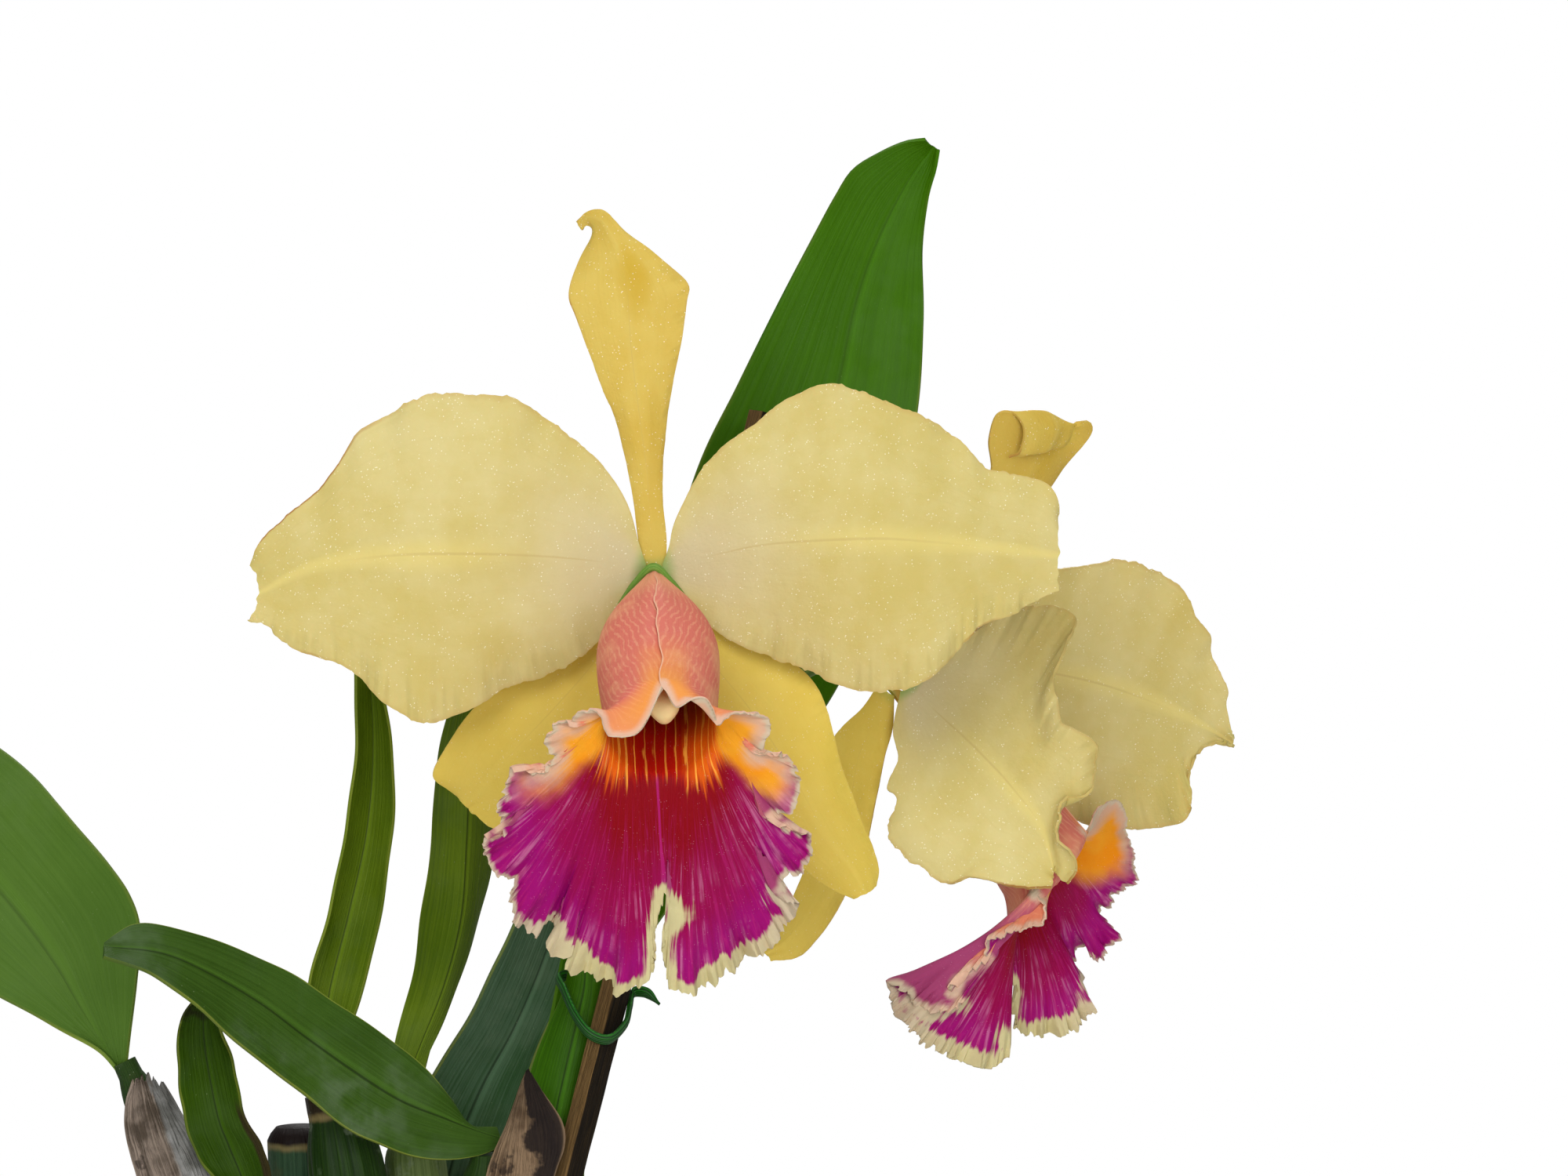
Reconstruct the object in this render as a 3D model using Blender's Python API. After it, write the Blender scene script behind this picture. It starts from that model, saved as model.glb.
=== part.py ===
"""A potted orchid: two ruffled flowers on a staked stem, its leaves and pseudobulbs, and a clay pot.

Frame: +Z is up, -Y is the side that the first flower faces, and the origin is the centre of the
pot's flat base. Outlines are written in millimetres; MM turns them into metres.
"""

import math

import bmesh
import bpy
import numpy as np
from mathutils import Matrix, Quaternion, Vector

MM = 0.001
GAP = 0.3                        # clearance between pieces that touch

POT_HEIGHT = 125
POT_RIM_RADIUS = 80
POT_BASE_RADIUS = 56
POT_BAND = 25                    # height of the thicker band under the rim
POT_WALL = 6
POT_FLOOR = 7
POT_LEAN = 5                     # how much further out the wall is at its top than under the band
POT_SIDES = 32
HOLES = 4
HOLE_RADIUS = 6
HOLE_RING = 28                   # from the pot's axis to each drainage hole's
MEDIUM_TOP = 108
MEDIUM_DROP = 2                  # how much lower the bark is at the wall

STAKE_SIDE = 4.4
STAKE_BOTTOM = (-21.5, -24, 60)
STAKE_TOP = (58, 1, 371)
STAKE_TURN = math.radians(40)

TEPAL_THICKNESS = 1.0
LIP_THICKNESS = 0.9
LEAF_THICKNESS = 2.0
NARROW_LEAF_THICKNESS = 1.4
SHEATH_THICKNESS = 0.8

FLOWER_1 = (38, -50, 340)        # where the first flower's petals meet
FLOWER_2 = (85.5, 0, 321)
LIP_WRAP = 0.965                 # the part of a full turn that a lip's tube wraps

# Each rail of a sheet is drawn as (x, z) points in the front view, then its depth (y) at its
# start, middle and end. A sheet is (left edge, rib, right edge), from its base to its tip.
TEPALS_1 = {
    "dorsal_sepal": (
        ([(-2.5, 3.8), (-4, 12), (-5, 21), (-10, 33), (-14, 43), (-16, 51), (-14, 59), (-9, 64)],
         (3, 1, 5)),
        ([(0, 4), (-1, 12), (-2, 21), (-4, 36), (-5, 48), (-6, 57), (-8.5, 65.5)], (3, -1, 6)),
        ([(2.5, 3.8), (1.5, 12), (1.5, 21), (3, 33), (5, 43), (6, 53), (-1, 60), (-7.5, 65)], (3, 1, 6)),
    ),
    "petal_left": (
        ([(-4, 3), (-6, 14), (-14, 24), (-27, 32), (-40, 33), (-55, 26), (-64, 14), (-75, 3)], (0, -2, 1)),
        ([(-4, 0.5), (-19, 3), (-34, 3.5), (-48, 3), (-63, 1), (-76, -3)], (0, -6, 0)),
        ([(-4.5, -3), (-10, -12), (-19, -18), (-31, -23), (-42, -28), (-54, -22), (-65, -14), (-75, -9)],
         (0, -2, 0)),
    ),
    "petal_right": (
        ([(4, 3), (7, 14), (14, 24), (25, 32), (36, 34), (50, 28), (63, 19), (72, 15), (75, 9)],
         (0, -2, 2)),
        ([(4, 0.5), (14, 3.5), (30, 5.5), (44, 6), (60, 4), (76, 2)], (0, -8, 0)),
        ([(4.5, -3), (10, -10), (19, -14), (30, -18), (40, -22), (51, -20), (60, -11), (75, -4)],
         (0, -2, 1)),
    ),
    "lateral_sepal_left": (
        ([(-4, -2.5), (-14, -10), (-26, -17), (-34, -26), (-41, -35), (-41.5, -39)], (4, 7, 16)),
        ([(-2.8, -3.8), (-9, -14), (-18, -25), (-29, -35), (-38, -44)], (3, 6, 17)),
        ([(-1.2, -4.6), (-5, -17), (-10, -33), (-18, -43), (-26, -49), (-35, -47)], (3, 6, 18)),
    ),
    "lateral_sepal_right": (
        ([(1.2, -4.6), (4.5, -19), (10, -32), (17, -44), (28, -54), (36, -61)], (3, 6, 3)),
        ([(2.8, -3.8), (9, -15), (17, -26), (24, -36), (31, -48), (39, -60)], (3, 6, 4)),
        ([(4, -2.5), (14, -11), (24, -16), (30, -20), (34, -32), (38, -47), (41, -57)], (4, 7, 5)),
    ),
}
TEPALS_2 = {
    "dorsal_sepal": (
        ([(1, 4.4), (6, 15), (12, 25), (16, 34), (19, 41), (22, 47)], (-1, -4, 4)),
        ([(2.6, 3.6), (8, 14), (15, 24), (21, 34), (25, 41), (29, 47)], (0, 0, 8)),
        ([(4.4, 3), (10, 13), (17, 23), (25, 32), (31, 40), (35, 45)], (1, 4, 12)),
    ),
    "petal_near": (
        ([(-1, -4), (-3, -12), (-3, -22), (-2, -31), (3, -37), (10, -40), (19, -41), (27, -41)],
         (-4.4, -13, -16)),
        ([(1, -3), (6, -8), (13, -15), (20, -23), (26, -31), (30, -39)], (-4.6, -13, -16)),
        ([(3, -1), (11, 6), (20, 12), (30, 12), (30, 1), (31, -7), (37, -15), (33, -23), (31, -36)],
         (-4.4, -14, -16)),
    ),
    "petal_far": (
        ([(3, 2), (11, 13), (23, 19), (36, 20), (47, 21), (56, 16), (63, 6), (67, -9)], (4.4, 24, 40)),
        ([(3, 0), (12, 0.5), (24, 0), (39, -2), (53, -7), (68, -13)], (4.6, 24, 40)),
        ([(3, -2), (11, -12), (23, -22), (34, -30), (46, -32), (56, -30), (61, -20), (67, -15)],
         (4.4, 22, 38)),
    ),
    "lateral_sepal_near": (
        ([(-5, -2.5), (-8, -7), (-14, -14), (-15, -24), (-18, -35), (-23, -45), (-25, -52)],
         (-2, 0, 0)),
        ([(-3.6, -4), (-6, -10), (-9, -17), (-10, -27), (-12, -36), (-16, -44), (-22, -54)],
         (-2.5, -2, -2)),
        ([(-2.4, -5), (-3.5, -11), (-4, -17), (-5.5, -27), (-7.5, -35), (-11, -43), (-19, -54)],
         (-2, -4, -4)),
    ),
    "lateral_sepal_far": (
        ([(-2.4, -5), (4, -14), (8, -26), (13, -35), (16, -39)], (3, 16, 24)),
        ([(-3.2, -4), (7, -12), (12, -23), (16, -32), (18, -39)], (3.6, 18, 26)),
        ([(-4, -3), (10, -9), (17, -20), (21, -31), (20, -38)], (4.2, 20, 26)),
    ),
}

# A lip's tube opens from its start to its mouth; its frill then spreads to two margins, each
# from the seam at the top of the tube to the notch at the middle of the front lobe.
LIP_1 = {
    "start": (0, -4, -2),
    "mouth": (2, -43, -28),
    "up": (0, -0.55, 0.83),
    "radii": (5, 10.5),
    "margins": (
        ([(-2, -21), (-7, -28), (-12, -26), (-18, -31), (-27, -41), (-30, -50), (-26, -59), (-21, -67),
          (-16, -72), (-7, -76), (0, -71), (1, -61)], (-46, -22, -32)),
        ([(5, -21), (9, -25), (13, -25), (20, -28), (25, -38), (29, -49), (26, -60), (22, -67),
          (14, -74), (6, -76), (4, -71), (3, -61)], (-46, -22, -32)),
    ),
}
LIP_2 = {
    "start": (3.5, 0, -5.5),
    "mouth": (27, -1, -38),
    "up": (0.81, 0, 0.59),
    "radii": (5.2, 9.5),
    "margins": (
        ([(33, -32), (28, -36), (24, -43), (20, -50), (11, -57), (3, -61), (0, -66), (7, -73),
          (16, -75), (19, -67), (18, -59)], (-5, -17, -1)),
        ([(36, -33), (41, -26), (45, -33), (45, -41), (39, -50), (37, -57), (36, -66), (29, -72),
          (22, -68), (20, -59)], (3, 14, 2)),
    ),
}

LEAVES = {
    "leaf_tall": (
        ([(14, 233), (15, 246), (18, 259), (36, 334), (52, 376), (67, 406), (84, 425)], (3, 12, 26)),
        ([(18, 232), (22, 259), (42, 301), (55, 326), (65, 352), (77, 397), (91, 426)], (6, 16, 30)),
        ([(22, 233), (26, 246), (30, 259), (58, 297), (83, 350), (89, 392), (93, 424)], (3, 12, 28)),
    ),
    "leaf_left": (
        ([(-70, 243), (-82, 252), (-101, 262), (-121, 281), (-131, 315)], (7, 12, 34)),
        ([(-68, 243), (-81, 263), (-98, 283), (-118, 304), (-132, 318)], (9, 18, 35)),
        ([(-66, 243), (-64, 260), (-65, 273), (-80, 295), (-107, 314), (-129, 320)], (7, 12, 34)),
    ),
    "leaf_arching": (
        ([(7, 230), (-2, 228), (-12, 229), (-30, 242), (-48, 258), (-64, 267)], (-10, -28, -46)),
        ([(7, 232), (-4, 234), (-20, 244), (-37, 257), (-55, 267), (-65.5, 269)], (-9, -22, -43)),
        ([(6, 234), (-2, 239), (-15, 251), (-35, 265), (-55, 273), (-65, 271)], (-8, -16, -41)),
    ),
    "leaf_narrow_1": (
        ([(-30, 239), (-30.5, 249), (-26, 274), (-21, 306), (-21, 322), (-24, 342)], (-2, 2, 10)),
        ([(-28, 239), (-27, 258), (-24, 273), (-20, 306), (-20, 322), (-22.8, 344)], (1, 8, 10.4)),
        ([(-26, 239), (-23, 249), (-16, 274), (-15, 305), (-17, 321), (-21.6, 342)], (-2, 4, 10)),
    ),
    "leaf_narrow_2": (
        ([(-15, 239), (-14, 248), (-9, 272), (-6, 298), (-2, 321), (4, 342)], (8, 13, 12)),
        ([(-12.5, 239), (-9, 247), (-1, 272), (0, 299), (2, 322), (5.2, 344)], (10, 7, 11.6)),
        ([(-10, 239), (-8, 244), (2, 272), (5, 298), (6, 322), (6.4, 342)], (8, 15, 12)),
    ),
    "leaf_back": (
        ([(-9, 204), (-15, 226), (-8, 239), (5, 263), (21, 295)], (24, 24, 20)),
        ([(-7, 204), (-4, 226), (7, 249), (17, 275), (22, 297)], (25, 31, 24)),
        ([(-5, 204), (6, 228), (15, 251), (22, 275), (23.5, 295)], (24, 26, 22)),
    ),
    "leaf_short": (
        ([(-44, 213), (-46, 221), (-53, 234), (-55, 248), (-53, 256)], (-7, -8, 0)),
        ([(-42, 213), (-43, 222), (-47, 234), (-50, 248), (-51, 257)], (-5, -4, 2)),
        ([(-40, 213), (-37, 222), (-42, 234), (-46, 248), (-49, 256)], (-7, -8, 0)),
    ),
}

# Each pseudobulb: its path from just above the rhizome to its top, its widest radius, and its
# top's radius.
BULBS = {
    "pseudobulb_lead": ([(16, 3, 118), (17, 4, 175), (18, 1, 229)], 8, 5),
    "pseudobulb_left": ([(-37, 3, 118), (-45, 6, 185), (-57, 8, 222), (-68, 8, 241)], 6.5, 4),
    "pseudobulb_short": ([(-18.5, 0, 118), (-34, -8, 175), (-42, -7, 210)], 6.5, 4),
    "pseudobulb_cut": ([(-27.5, 5, 118), (-32, 19, 175), (-35, 17, 230)], 6, 5.5),
    "pseudobulb_ribbed": ([(-10, 3.5, 118), (-17, 2, 175), (-28, 0, 236)], 7, 3.5),
    "pseudobulb_middle": ([(-1.5, 6, 118), (-5, 13, 175), (-13, 11, 236)], 6.5, 3.5),
    "pseudobulb_arching": ([(5, 0, 118), (3.5, -5, 175), (7, -9, 227)], 6.5, 4.5),
    "pseudobulb_back": ([(9, 10, 118), (9, 23, 165), (-7, 25, 201)], 5.5, 3.5),
}
# Each dry sheath is a sheet curled around the near side of the growth that it covers.
SHEATHS = {
    "sheath_grey": (
        ([(-54, 186), (-60, 204), (-65, 223), (-67, 237)], (3, 3, 3)),
        ([(-45, 187), (-50, 205), (-56, 224), (-63, 242)], (-4, -3, -1)),
        ([(-36.5, 189), (-42, 207), (-47, 223), (-58, 239)], (3, 3, 3)),
    ),
    "sheath_brown": (
        ([(3, 200), (4.5, 212), (5.5, 224), (8.5, 234), (12, 243)], (-14.5, -14.5, -15)),
        ([(7, 199), (10, 212), (12.5, 224), (12.6, 235), (12.8, 244)], (-18, -18, -16)),
        ([(11.5, 200), (15, 212), (18, 224), (16, 234), (13.6, 243)], (-14.5, -14.5, -15)),
    ),
    "sheath_floral": (
        ([(14.5, 234), (14.3, 244), (19, 254.5)], (-5, -5, -5)),
        ([(18, 233), (18.5, 244), (20.4, 255)], (-7, -7, -6)),
        ([(21.5, 234), (23.2, 244), (21.8, 254.5)], (-5, -5, -5)),
    ),
}

# The round pieces: (smooth path, radii from end to end). The tie loops round the stem and stake.
STEM = ([(19, -2, 230), (22, -2, 258), (26, -7, 280), (34, -22, 318), (37.5, -34, 337),
         (38, -44.1, 340)], (2.2, 2, 2, 2.2, 3.2))
PEDICEL = ([(27.5, -3.6, 282), (40, 4, 301), (62, 5, 319), (73, 2, 325), (79.8, 0, 323.8)],
           (1.6, 1.8, 2, 3.2))
TIE = ([(40, -7, 257), (35.2, -9, 257), (28, -14.5, 252), (21, -9, 257), (17.5, -3, 260),
        (21.5, 2, 262), (28, -1, 261), (34.6, -4.6, 259)], (1, 1))
RHIZOME = ([(-43, 3, 113), (-10, 3, 112.5), (24, 4, 113)], (3, 4, 3))
COLUMN_RADII = (2.8, 2.4, 3.2)
COLUMN_1 = ([(0, 4.7, 0), (0, -4, -1.5), (1, -20, -12), (2.6, -36, -25)], COLUMN_RADII)
COLUMN_2 = ([(-4.2, 0, 2), (1, 0, -1), (12, -1, -15), (28.5, -3, -34.5)], COLUMN_RADII)


def scaled(point):
    return Vector(point) * MM


def smooth(points, count):
    """`count` places evenly spaced along the smooth curve through `points`."""
    points = np.array(points, float)
    ends = np.vstack([2 * points[0] - points[1], points, 2 * points[-1] - points[-2]])
    fine = []
    for a, b, c, d in zip(ends, ends[1:], ends[2:], ends[3:]):
        for t in np.linspace(0, 1, 16, endpoint=False):
            fine.append(0.5 * (2 * b + (c - a) * t + (2 * a - 5 * b + 4 * c - d) * t**2
                               + (3 * b - a - 3 * c + d) * t**3))
    fine.append(points[-1])
    fine = np.array(fine)
    along = np.concatenate([[0], np.cumsum(np.linalg.norm(np.diff(fine, axis=0), axis=1))])
    wanted = np.linspace(0, along[-1], count)
    return np.stack([np.interp(wanted, along, axis) for axis in fine.T], axis=1)


def rail(outline, depth, count):
    """Places along a rail drawn in the front view, with its depth at start, middle and end."""
    flat = smooth(outline, count)
    t = np.linspace(0, 1, count)
    start, middle, end = depth
    y = start * (1 - t) * (1 - 2 * t) + middle * 4 * t * (1 - t) + end * t * (2 * t - 1)
    return np.stack([flat[:, 0], y, flat[:, 1]], axis=1)


def made_object(name, data, skin=None, parent=None):
    if skin:
        data.materials.append(skin)
    made = bpy.data.objects.new(name, data)
    made.parent = parent
    bpy.context.collection.objects.link(made)
    return made


def solid(name, shape, skin=None, parent=None, sharp=180):
    """The object of a bmesh, shaded smooth where its faces meet at less than `sharp` degrees."""
    bmesh.ops.recalc_face_normals(shape, faces=shape.faces)
    mesh = bpy.data.meshes.new(name)
    shape.to_mesh(mesh)
    shape.free()
    mesh.shade_smooth()
    mesh.set_sharp_from_angle(angle=math.radians(sharp))
    return made_object(name, mesh, skin, parent)


def surface(place, rows, columns, name, skin, thickness, parent):
    """A thickened grid whose point at (row, across from -1 to 1) is place(row, across)."""
    shape = bmesh.new()
    bmesh.ops.create_grid(shape, x_segments=columns, y_segments=rows, size=0.5)
    for vertex in shape.verts:
        row = round((vertex.co.y + 0.5) * rows)
        vertex.co = scaled(place(row, 2 * vertex.co.x))
    made = solid(name, shape, skin, parent)
    wall = made.modifiers.new("wall", "SOLIDIFY")
    wall.thickness = thickness * MM
    wall.offset = 0
    return made


def sheet(name, rails, skin, thickness, parent=None, rows=12, columns=6, crease=0.5):
    """A petal, sepal or leaf: a sheet over its left edge, rib and right edge, folded at the rib."""
    left, rib, right = (rail(outline, depth, rows + 1) for outline, depth in rails)

    def place(row, across):
        edge = right[row] if across > 0 else left[row]
        folded = rib[row] + abs(across) * (edge - rib[row])
        round_over = (rib[row] + across * (right[row] - left[row]) / 2
                      + across**2 * ((left[row] + right[row]) / 2 - rib[row]))
        return crease * folded + (1 - crease) * round_over

    return surface(place, rows, columns, name, skin, thickness, parent)


def lip(name, plan, skin, parent, rows=11, columns=28):
    """A lip: a tube rolled around the column, spreading at its mouth into a frilled lobe."""
    start, mouth, up = (np.array(plan[key], float) for key in ("start", "mouth", "up"))
    axis = (mouth - start) / np.linalg.norm(mouth - start)
    side = np.cross(up, axis)
    narrow, wide = plan["radii"]
    half = columns // 2
    left, right = (rail(outline, depth, half + 1) for outline, depth in plan["margins"])
    tube_rows = rows // 2

    def place(row, across):
        angle = math.pi * across * LIP_WRAP
        radial = side * math.sin(angle) - up * math.cos(angle)
        along = min(row / tube_rows, 1)
        ring = start + (mouth - start) * along + radial * (narrow + (wide - narrow) * along**0.7)
        if row <= tube_rows:
            return ring
        margin = right if across > 0 else left
        edge = margin[half - round(abs(across) * half)]
        t = (row - tube_rows) / (rows - tube_rows)
        reach = np.linalg.norm(edge - ring)
        leave = axis * reach
        arrive = (edge - mouth) / np.linalg.norm(edge - mouth) * reach
        return ((2 * t**3 - 3 * t**2 + 1) * ring + (t**3 - 2 * t**2 + t) * leave
                + (3 * t**2 - 2 * t**3) * edge + (t**3 - t**2) * arrive)

    return surface(place, rows, columns, name, skin, LIP_THICKNESS, parent)


def stem(name, path, radii, skin, points=12, sides=8, parent=None):
    """A round stem along a smooth path, its radius following `radii` from end to end."""
    curve = bpy.data.curves.new(name, "CURVE")
    curve.dimensions = "3D"
    curve.bevel_depth = MM
    curve.bevel_resolution = (sides - 4) // 2
    curve.use_fill_caps = True
    spline = curve.splines.new("POLY")
    spline.points.add(points - 1)
    widths = np.interp(np.linspace(0, 1, points), np.linspace(0, 1, len(radii)), radii)
    for point, place, width in zip(spline.points, smooth(path, points), widths):
        point.co = (*scaled(place), 1)
        point.radius = width
    spline.use_smooth = True
    return made_object(name, curve, skin, parent)


def spindle(widest, top, count=9):
    """Radii along a pseudobulb: slim at its foot, widest at the middle, slim again at its top."""
    foot = 0.6 * widest
    return [(foot + (top - foot) * t) + (widest - (foot + top) / 2) * math.sin(math.pi * t) ** 1.3
            for t in np.linspace(0, 1, count)]


def bar(name, bottom, top, side, turn, skin=None):
    """A square bar between two points, turned about its own length."""
    bottom, top = scaled(bottom), scaled(top)
    shape = bmesh.new()
    bmesh.ops.create_cube(shape, size=1)
    bmesh.ops.scale(shape, vec=(side * MM, side * MM, (top - bottom).length), verts=shape.verts)
    made = solid(name, shape, skin, sharp=40)
    made.rotation_mode = "QUATERNION"
    made.rotation_quaternion = (top - bottom).to_track_quat("Z", "X") @ Quaternion((0, 0, 1), turn)
    made.location = (bottom + top) / 2
    return made


def turned(profile, sides):
    """A bmesh of the profile, given as (radius, height) from the axis to the axis, spun around Z."""
    shape = bmesh.new()
    corners = [shape.verts.new(scaled((radius, 0, height))) for radius, height in profile]
    edges = [shape.edges.new(pair) for pair in zip(corners, corners[1:])]
    bmesh.ops.spin(shape, geom=corners + edges, cent=(0, 0, 0), axis=(0, 0, 1), angle=2 * math.pi,
                   steps=sides, use_merge=True)
    bmesh.ops.remove_doubles(shape, verts=shape.verts, dist=0.01 * MM)
    return shape


def cut(piece, cutter):
    """Takes the cutter's shape out of the piece, and hides the cutter."""
    cutter.hide_render = True
    cutter.display_type = "WIRE"
    boolean = piece.modifiers.new("cut", "BOOLEAN")
    boolean.operation = "DIFFERENCE"
    boolean.object = cutter


def material(name, colour, roughness):
    made = bpy.data.materials.new(name)
    made.use_nodes = True
    shader = made.node_tree.nodes["Principled BSDF"]
    shader.inputs["Base Color"].default_value = (*colour, 1)
    shader.inputs["Roughness"].default_value = roughness
    return made


def inner_radius(height):
    """The pot's inner radius: its wall leans out from its floor to the band, then to its rim."""
    foot, top = POT_BASE_RADIUS - POT_WALL, POT_RIM_RADIUS - POT_WALL
    heights = (POT_FLOOR, POT_HEIGHT - POT_BAND, POT_HEIGHT)
    return float(np.interp(height, heights, (foot, top - POT_LEAN, top)))


def drainage_holes():
    """A cutter with one round bar for each hole in the pot's floor."""
    shape = bmesh.new()
    for hole in range(HOLES):
        angle = 2 * math.pi * (hole + 0.5) / HOLES
        spot = scaled((HOLE_RING * math.cos(angle), HOLE_RING * math.sin(angle), POT_FLOOR / 2))
        bmesh.ops.create_cone(shape, cap_ends=True, segments=16, radius1=HOLE_RADIUS * MM,
                              radius2=HOLE_RADIUS * MM, depth=3 * POT_FLOOR * MM,
                              matrix=Matrix.Translation(spot))
    return solid("cutter_holes", shape)


def pot(clay):
    """A clay pot with a thicker band under its rim and holes in its floor."""
    band_foot = POT_HEIGHT - POT_BAND
    mouth = inner_radius(POT_HEIGHT)
    profile = [
        (0, POT_FLOOR), (inner_radius(POT_FLOOR), POT_FLOOR), (inner_radius(band_foot), band_foot),
        (mouth, POT_HEIGHT - 1), (mouth + 1, POT_HEIGHT), (POT_RIM_RADIUS - 1, POT_HEIGHT),
        (POT_RIM_RADIUS, POT_HEIGHT - 1.5), (POT_RIM_RADIUS - 1.5, band_foot + 1),
        (POT_RIM_RADIUS - 3, band_foot), (POT_RIM_RADIUS - 5, band_foot - 0.5),
        (POT_BASE_RADIUS + 0.6, 2), (POT_BASE_RADIUS - 1, 0), (0, 0),
    ]
    cut(solid("pot", turned(profile, POT_SIDES), clay, sharp=40), drainage_holes())


def potting_medium(bark):
    """The bark that fills the pot, lumpy on top, with the stake's hole down through it."""
    foot, band_foot, edge = POT_FLOOR + GAP, POT_HEIGHT - POT_BAND, MEDIUM_TOP - MEDIUM_DROP
    clear = GAP + 0.4            # the pot's flat sides come a little nearer than its corners
    profile = [(0, foot)]
    profile += [(inner_radius(height) - clear, height) for height in (foot, band_foot, edge)]
    profile += [(radius, MEDIUM_TOP) for radius in (50, 34, 17, 0)]
    shape = turned(profile, POT_SIDES)
    for vertex in shape.verts:
        if vertex.co.z > (MEDIUM_TOP - 1) * MM:
            vertex.co.z += MM * math.sin(vertex.co.x * 190) * math.cos(vertex.co.y * 230)
    hole = bar("cutter_stake", STAKE_BOTTOM, STAKE_TOP, STAKE_SIDE + 3 * GAP, STAKE_TURN)
    cut(solid("potting_medium", shape, bark, sharp=40), hole)


def empty(name, place):
    made = bpy.data.objects.new(name, None)
    made.location = scaled(place)
    bpy.context.collection.objects.link(made)
    return made


def flower(name, place, tepals, lip_plan, column, skins):
    """One flower around its heart: five tepals, the column, and the lip rolled around the column."""
    heart = empty(name, place)
    for part, rails in tepals.items():
        skin = skins["sepal"] if "sepal" in part else skins["petal"]
        sheet(f"{name}_{part}", rails, skin, TEPAL_THICKNESS, heart)
    lip(f"{name}_lip", lip_plan, skins["lip"], heart)
    stem(f"{name}_column", *column, skins["column"], points=7, parent=heart)


def main():
    for existing in list(bpy.data.objects):
        bpy.data.objects.remove(existing)

    pot(material("clay", (0.50, 0.20, 0.10), 0.85))
    potting_medium(material("bark", (0.10, 0.055, 0.03), 0.95))
    wood = material("split_wood", (0.42, 0.28, 0.14), 0.8)
    bar("stake", STAKE_BOTTOM, STAKE_TOP, STAKE_SIDE, STAKE_TURN, wood)
    stem("tie", *TIE, material("tie_plastic", (0.02, 0.05, 0.01), 0.45), points=24)

    bulb_green = material("pseudobulb_skin", (0.03, 0.07, 0.01), 0.5)
    stem("rhizome", *RHIZOME, bulb_green, points=8)
    for name, (path, widest, top) in BULBS.items():
        stem(name, path, spindle(widest, top), bulb_green, points=10, sides=10)

    leaf_green = material("leaf", (0.04, 0.10, 0.01), 0.4)
    for name, rails in LEAVES.items():
        thickness = NARROW_LEAF_THICKNESS if "narrow" in name else LEAF_THICKNESS
        sheet(name, rails, leaf_green, thickness, rows=12, columns=4)
    papery = material("dry_sheath", (0.13, 0.08, 0.05), 0.9)
    for name, rails in SHEATHS.items():
        sheet(name, rails, papery, SHEATH_THICKNESS, rows=8, crease=0)

    stem_green = material("flower_stem", (0.07, 0.15, 0.03), 0.5)
    stem("flower_stem", *STEM, stem_green, points=16)
    stem("pedicel_2", *PEDICEL, stem_green)

    skins = {
        "petal": material("petal", (0.60, 0.52, 0.23), 0.5),
        "sepal": material("sepal", (0.65, 0.47, 0.09), 0.5),
        "lip": material("lip", (0.28, 0.005, 0.05), 0.5),
        "column": material("column", (0.60, 0.35, 0.10), 0.5),
    }
    flower("flower_1", FLOWER_1, TEPALS_1, LIP_1, COLUMN_1, skins)
    flower("flower_2", FLOWER_2, TEPALS_2, LIP_2, COLUMN_2, skins)


main()
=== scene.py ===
# %% [markdown]
# # A potted orchid, built piece by piece
#
# The plant is a cattleya type orchid: two big ruffled flowers on one stem, strap leaves that each
# grow from a swollen pseudobulb, and a clay pot full of bark. Its measured solids are loaded first
# as a fixed frame. Every piece made here then stands in the place of one of those solids, with the
# fine shape and the finish that the plain solid lacks.

import math
import random

import bmesh
import bpy
import numpy as np
from mathutils import Euler, Matrix, Vector


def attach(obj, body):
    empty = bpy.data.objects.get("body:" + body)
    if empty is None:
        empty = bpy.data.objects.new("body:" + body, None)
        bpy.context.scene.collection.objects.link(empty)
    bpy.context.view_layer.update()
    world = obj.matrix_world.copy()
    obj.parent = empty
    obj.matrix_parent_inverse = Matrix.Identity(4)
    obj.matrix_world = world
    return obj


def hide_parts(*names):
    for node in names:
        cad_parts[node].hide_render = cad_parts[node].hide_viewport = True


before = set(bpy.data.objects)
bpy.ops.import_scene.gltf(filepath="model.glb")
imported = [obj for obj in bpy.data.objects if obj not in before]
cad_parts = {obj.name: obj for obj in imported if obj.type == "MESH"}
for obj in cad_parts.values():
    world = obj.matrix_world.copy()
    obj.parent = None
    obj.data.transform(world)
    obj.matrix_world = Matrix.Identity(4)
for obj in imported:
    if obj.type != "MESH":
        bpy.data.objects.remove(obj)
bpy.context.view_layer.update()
MM = 0.001

# %% [markdown]
# ## Smooth curves from a few points
#
# Petals and leaves have edges that bend slowly, so a handful of points on an edge is enough to
# describe it. A Catmull-Rom curve passes through every point it is given, which makes it easier to
# draw with than a curve that only leans towards its points. The places read from it are evenly
# spaced, so that a mesh stretched over it has faces of even size.

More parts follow.
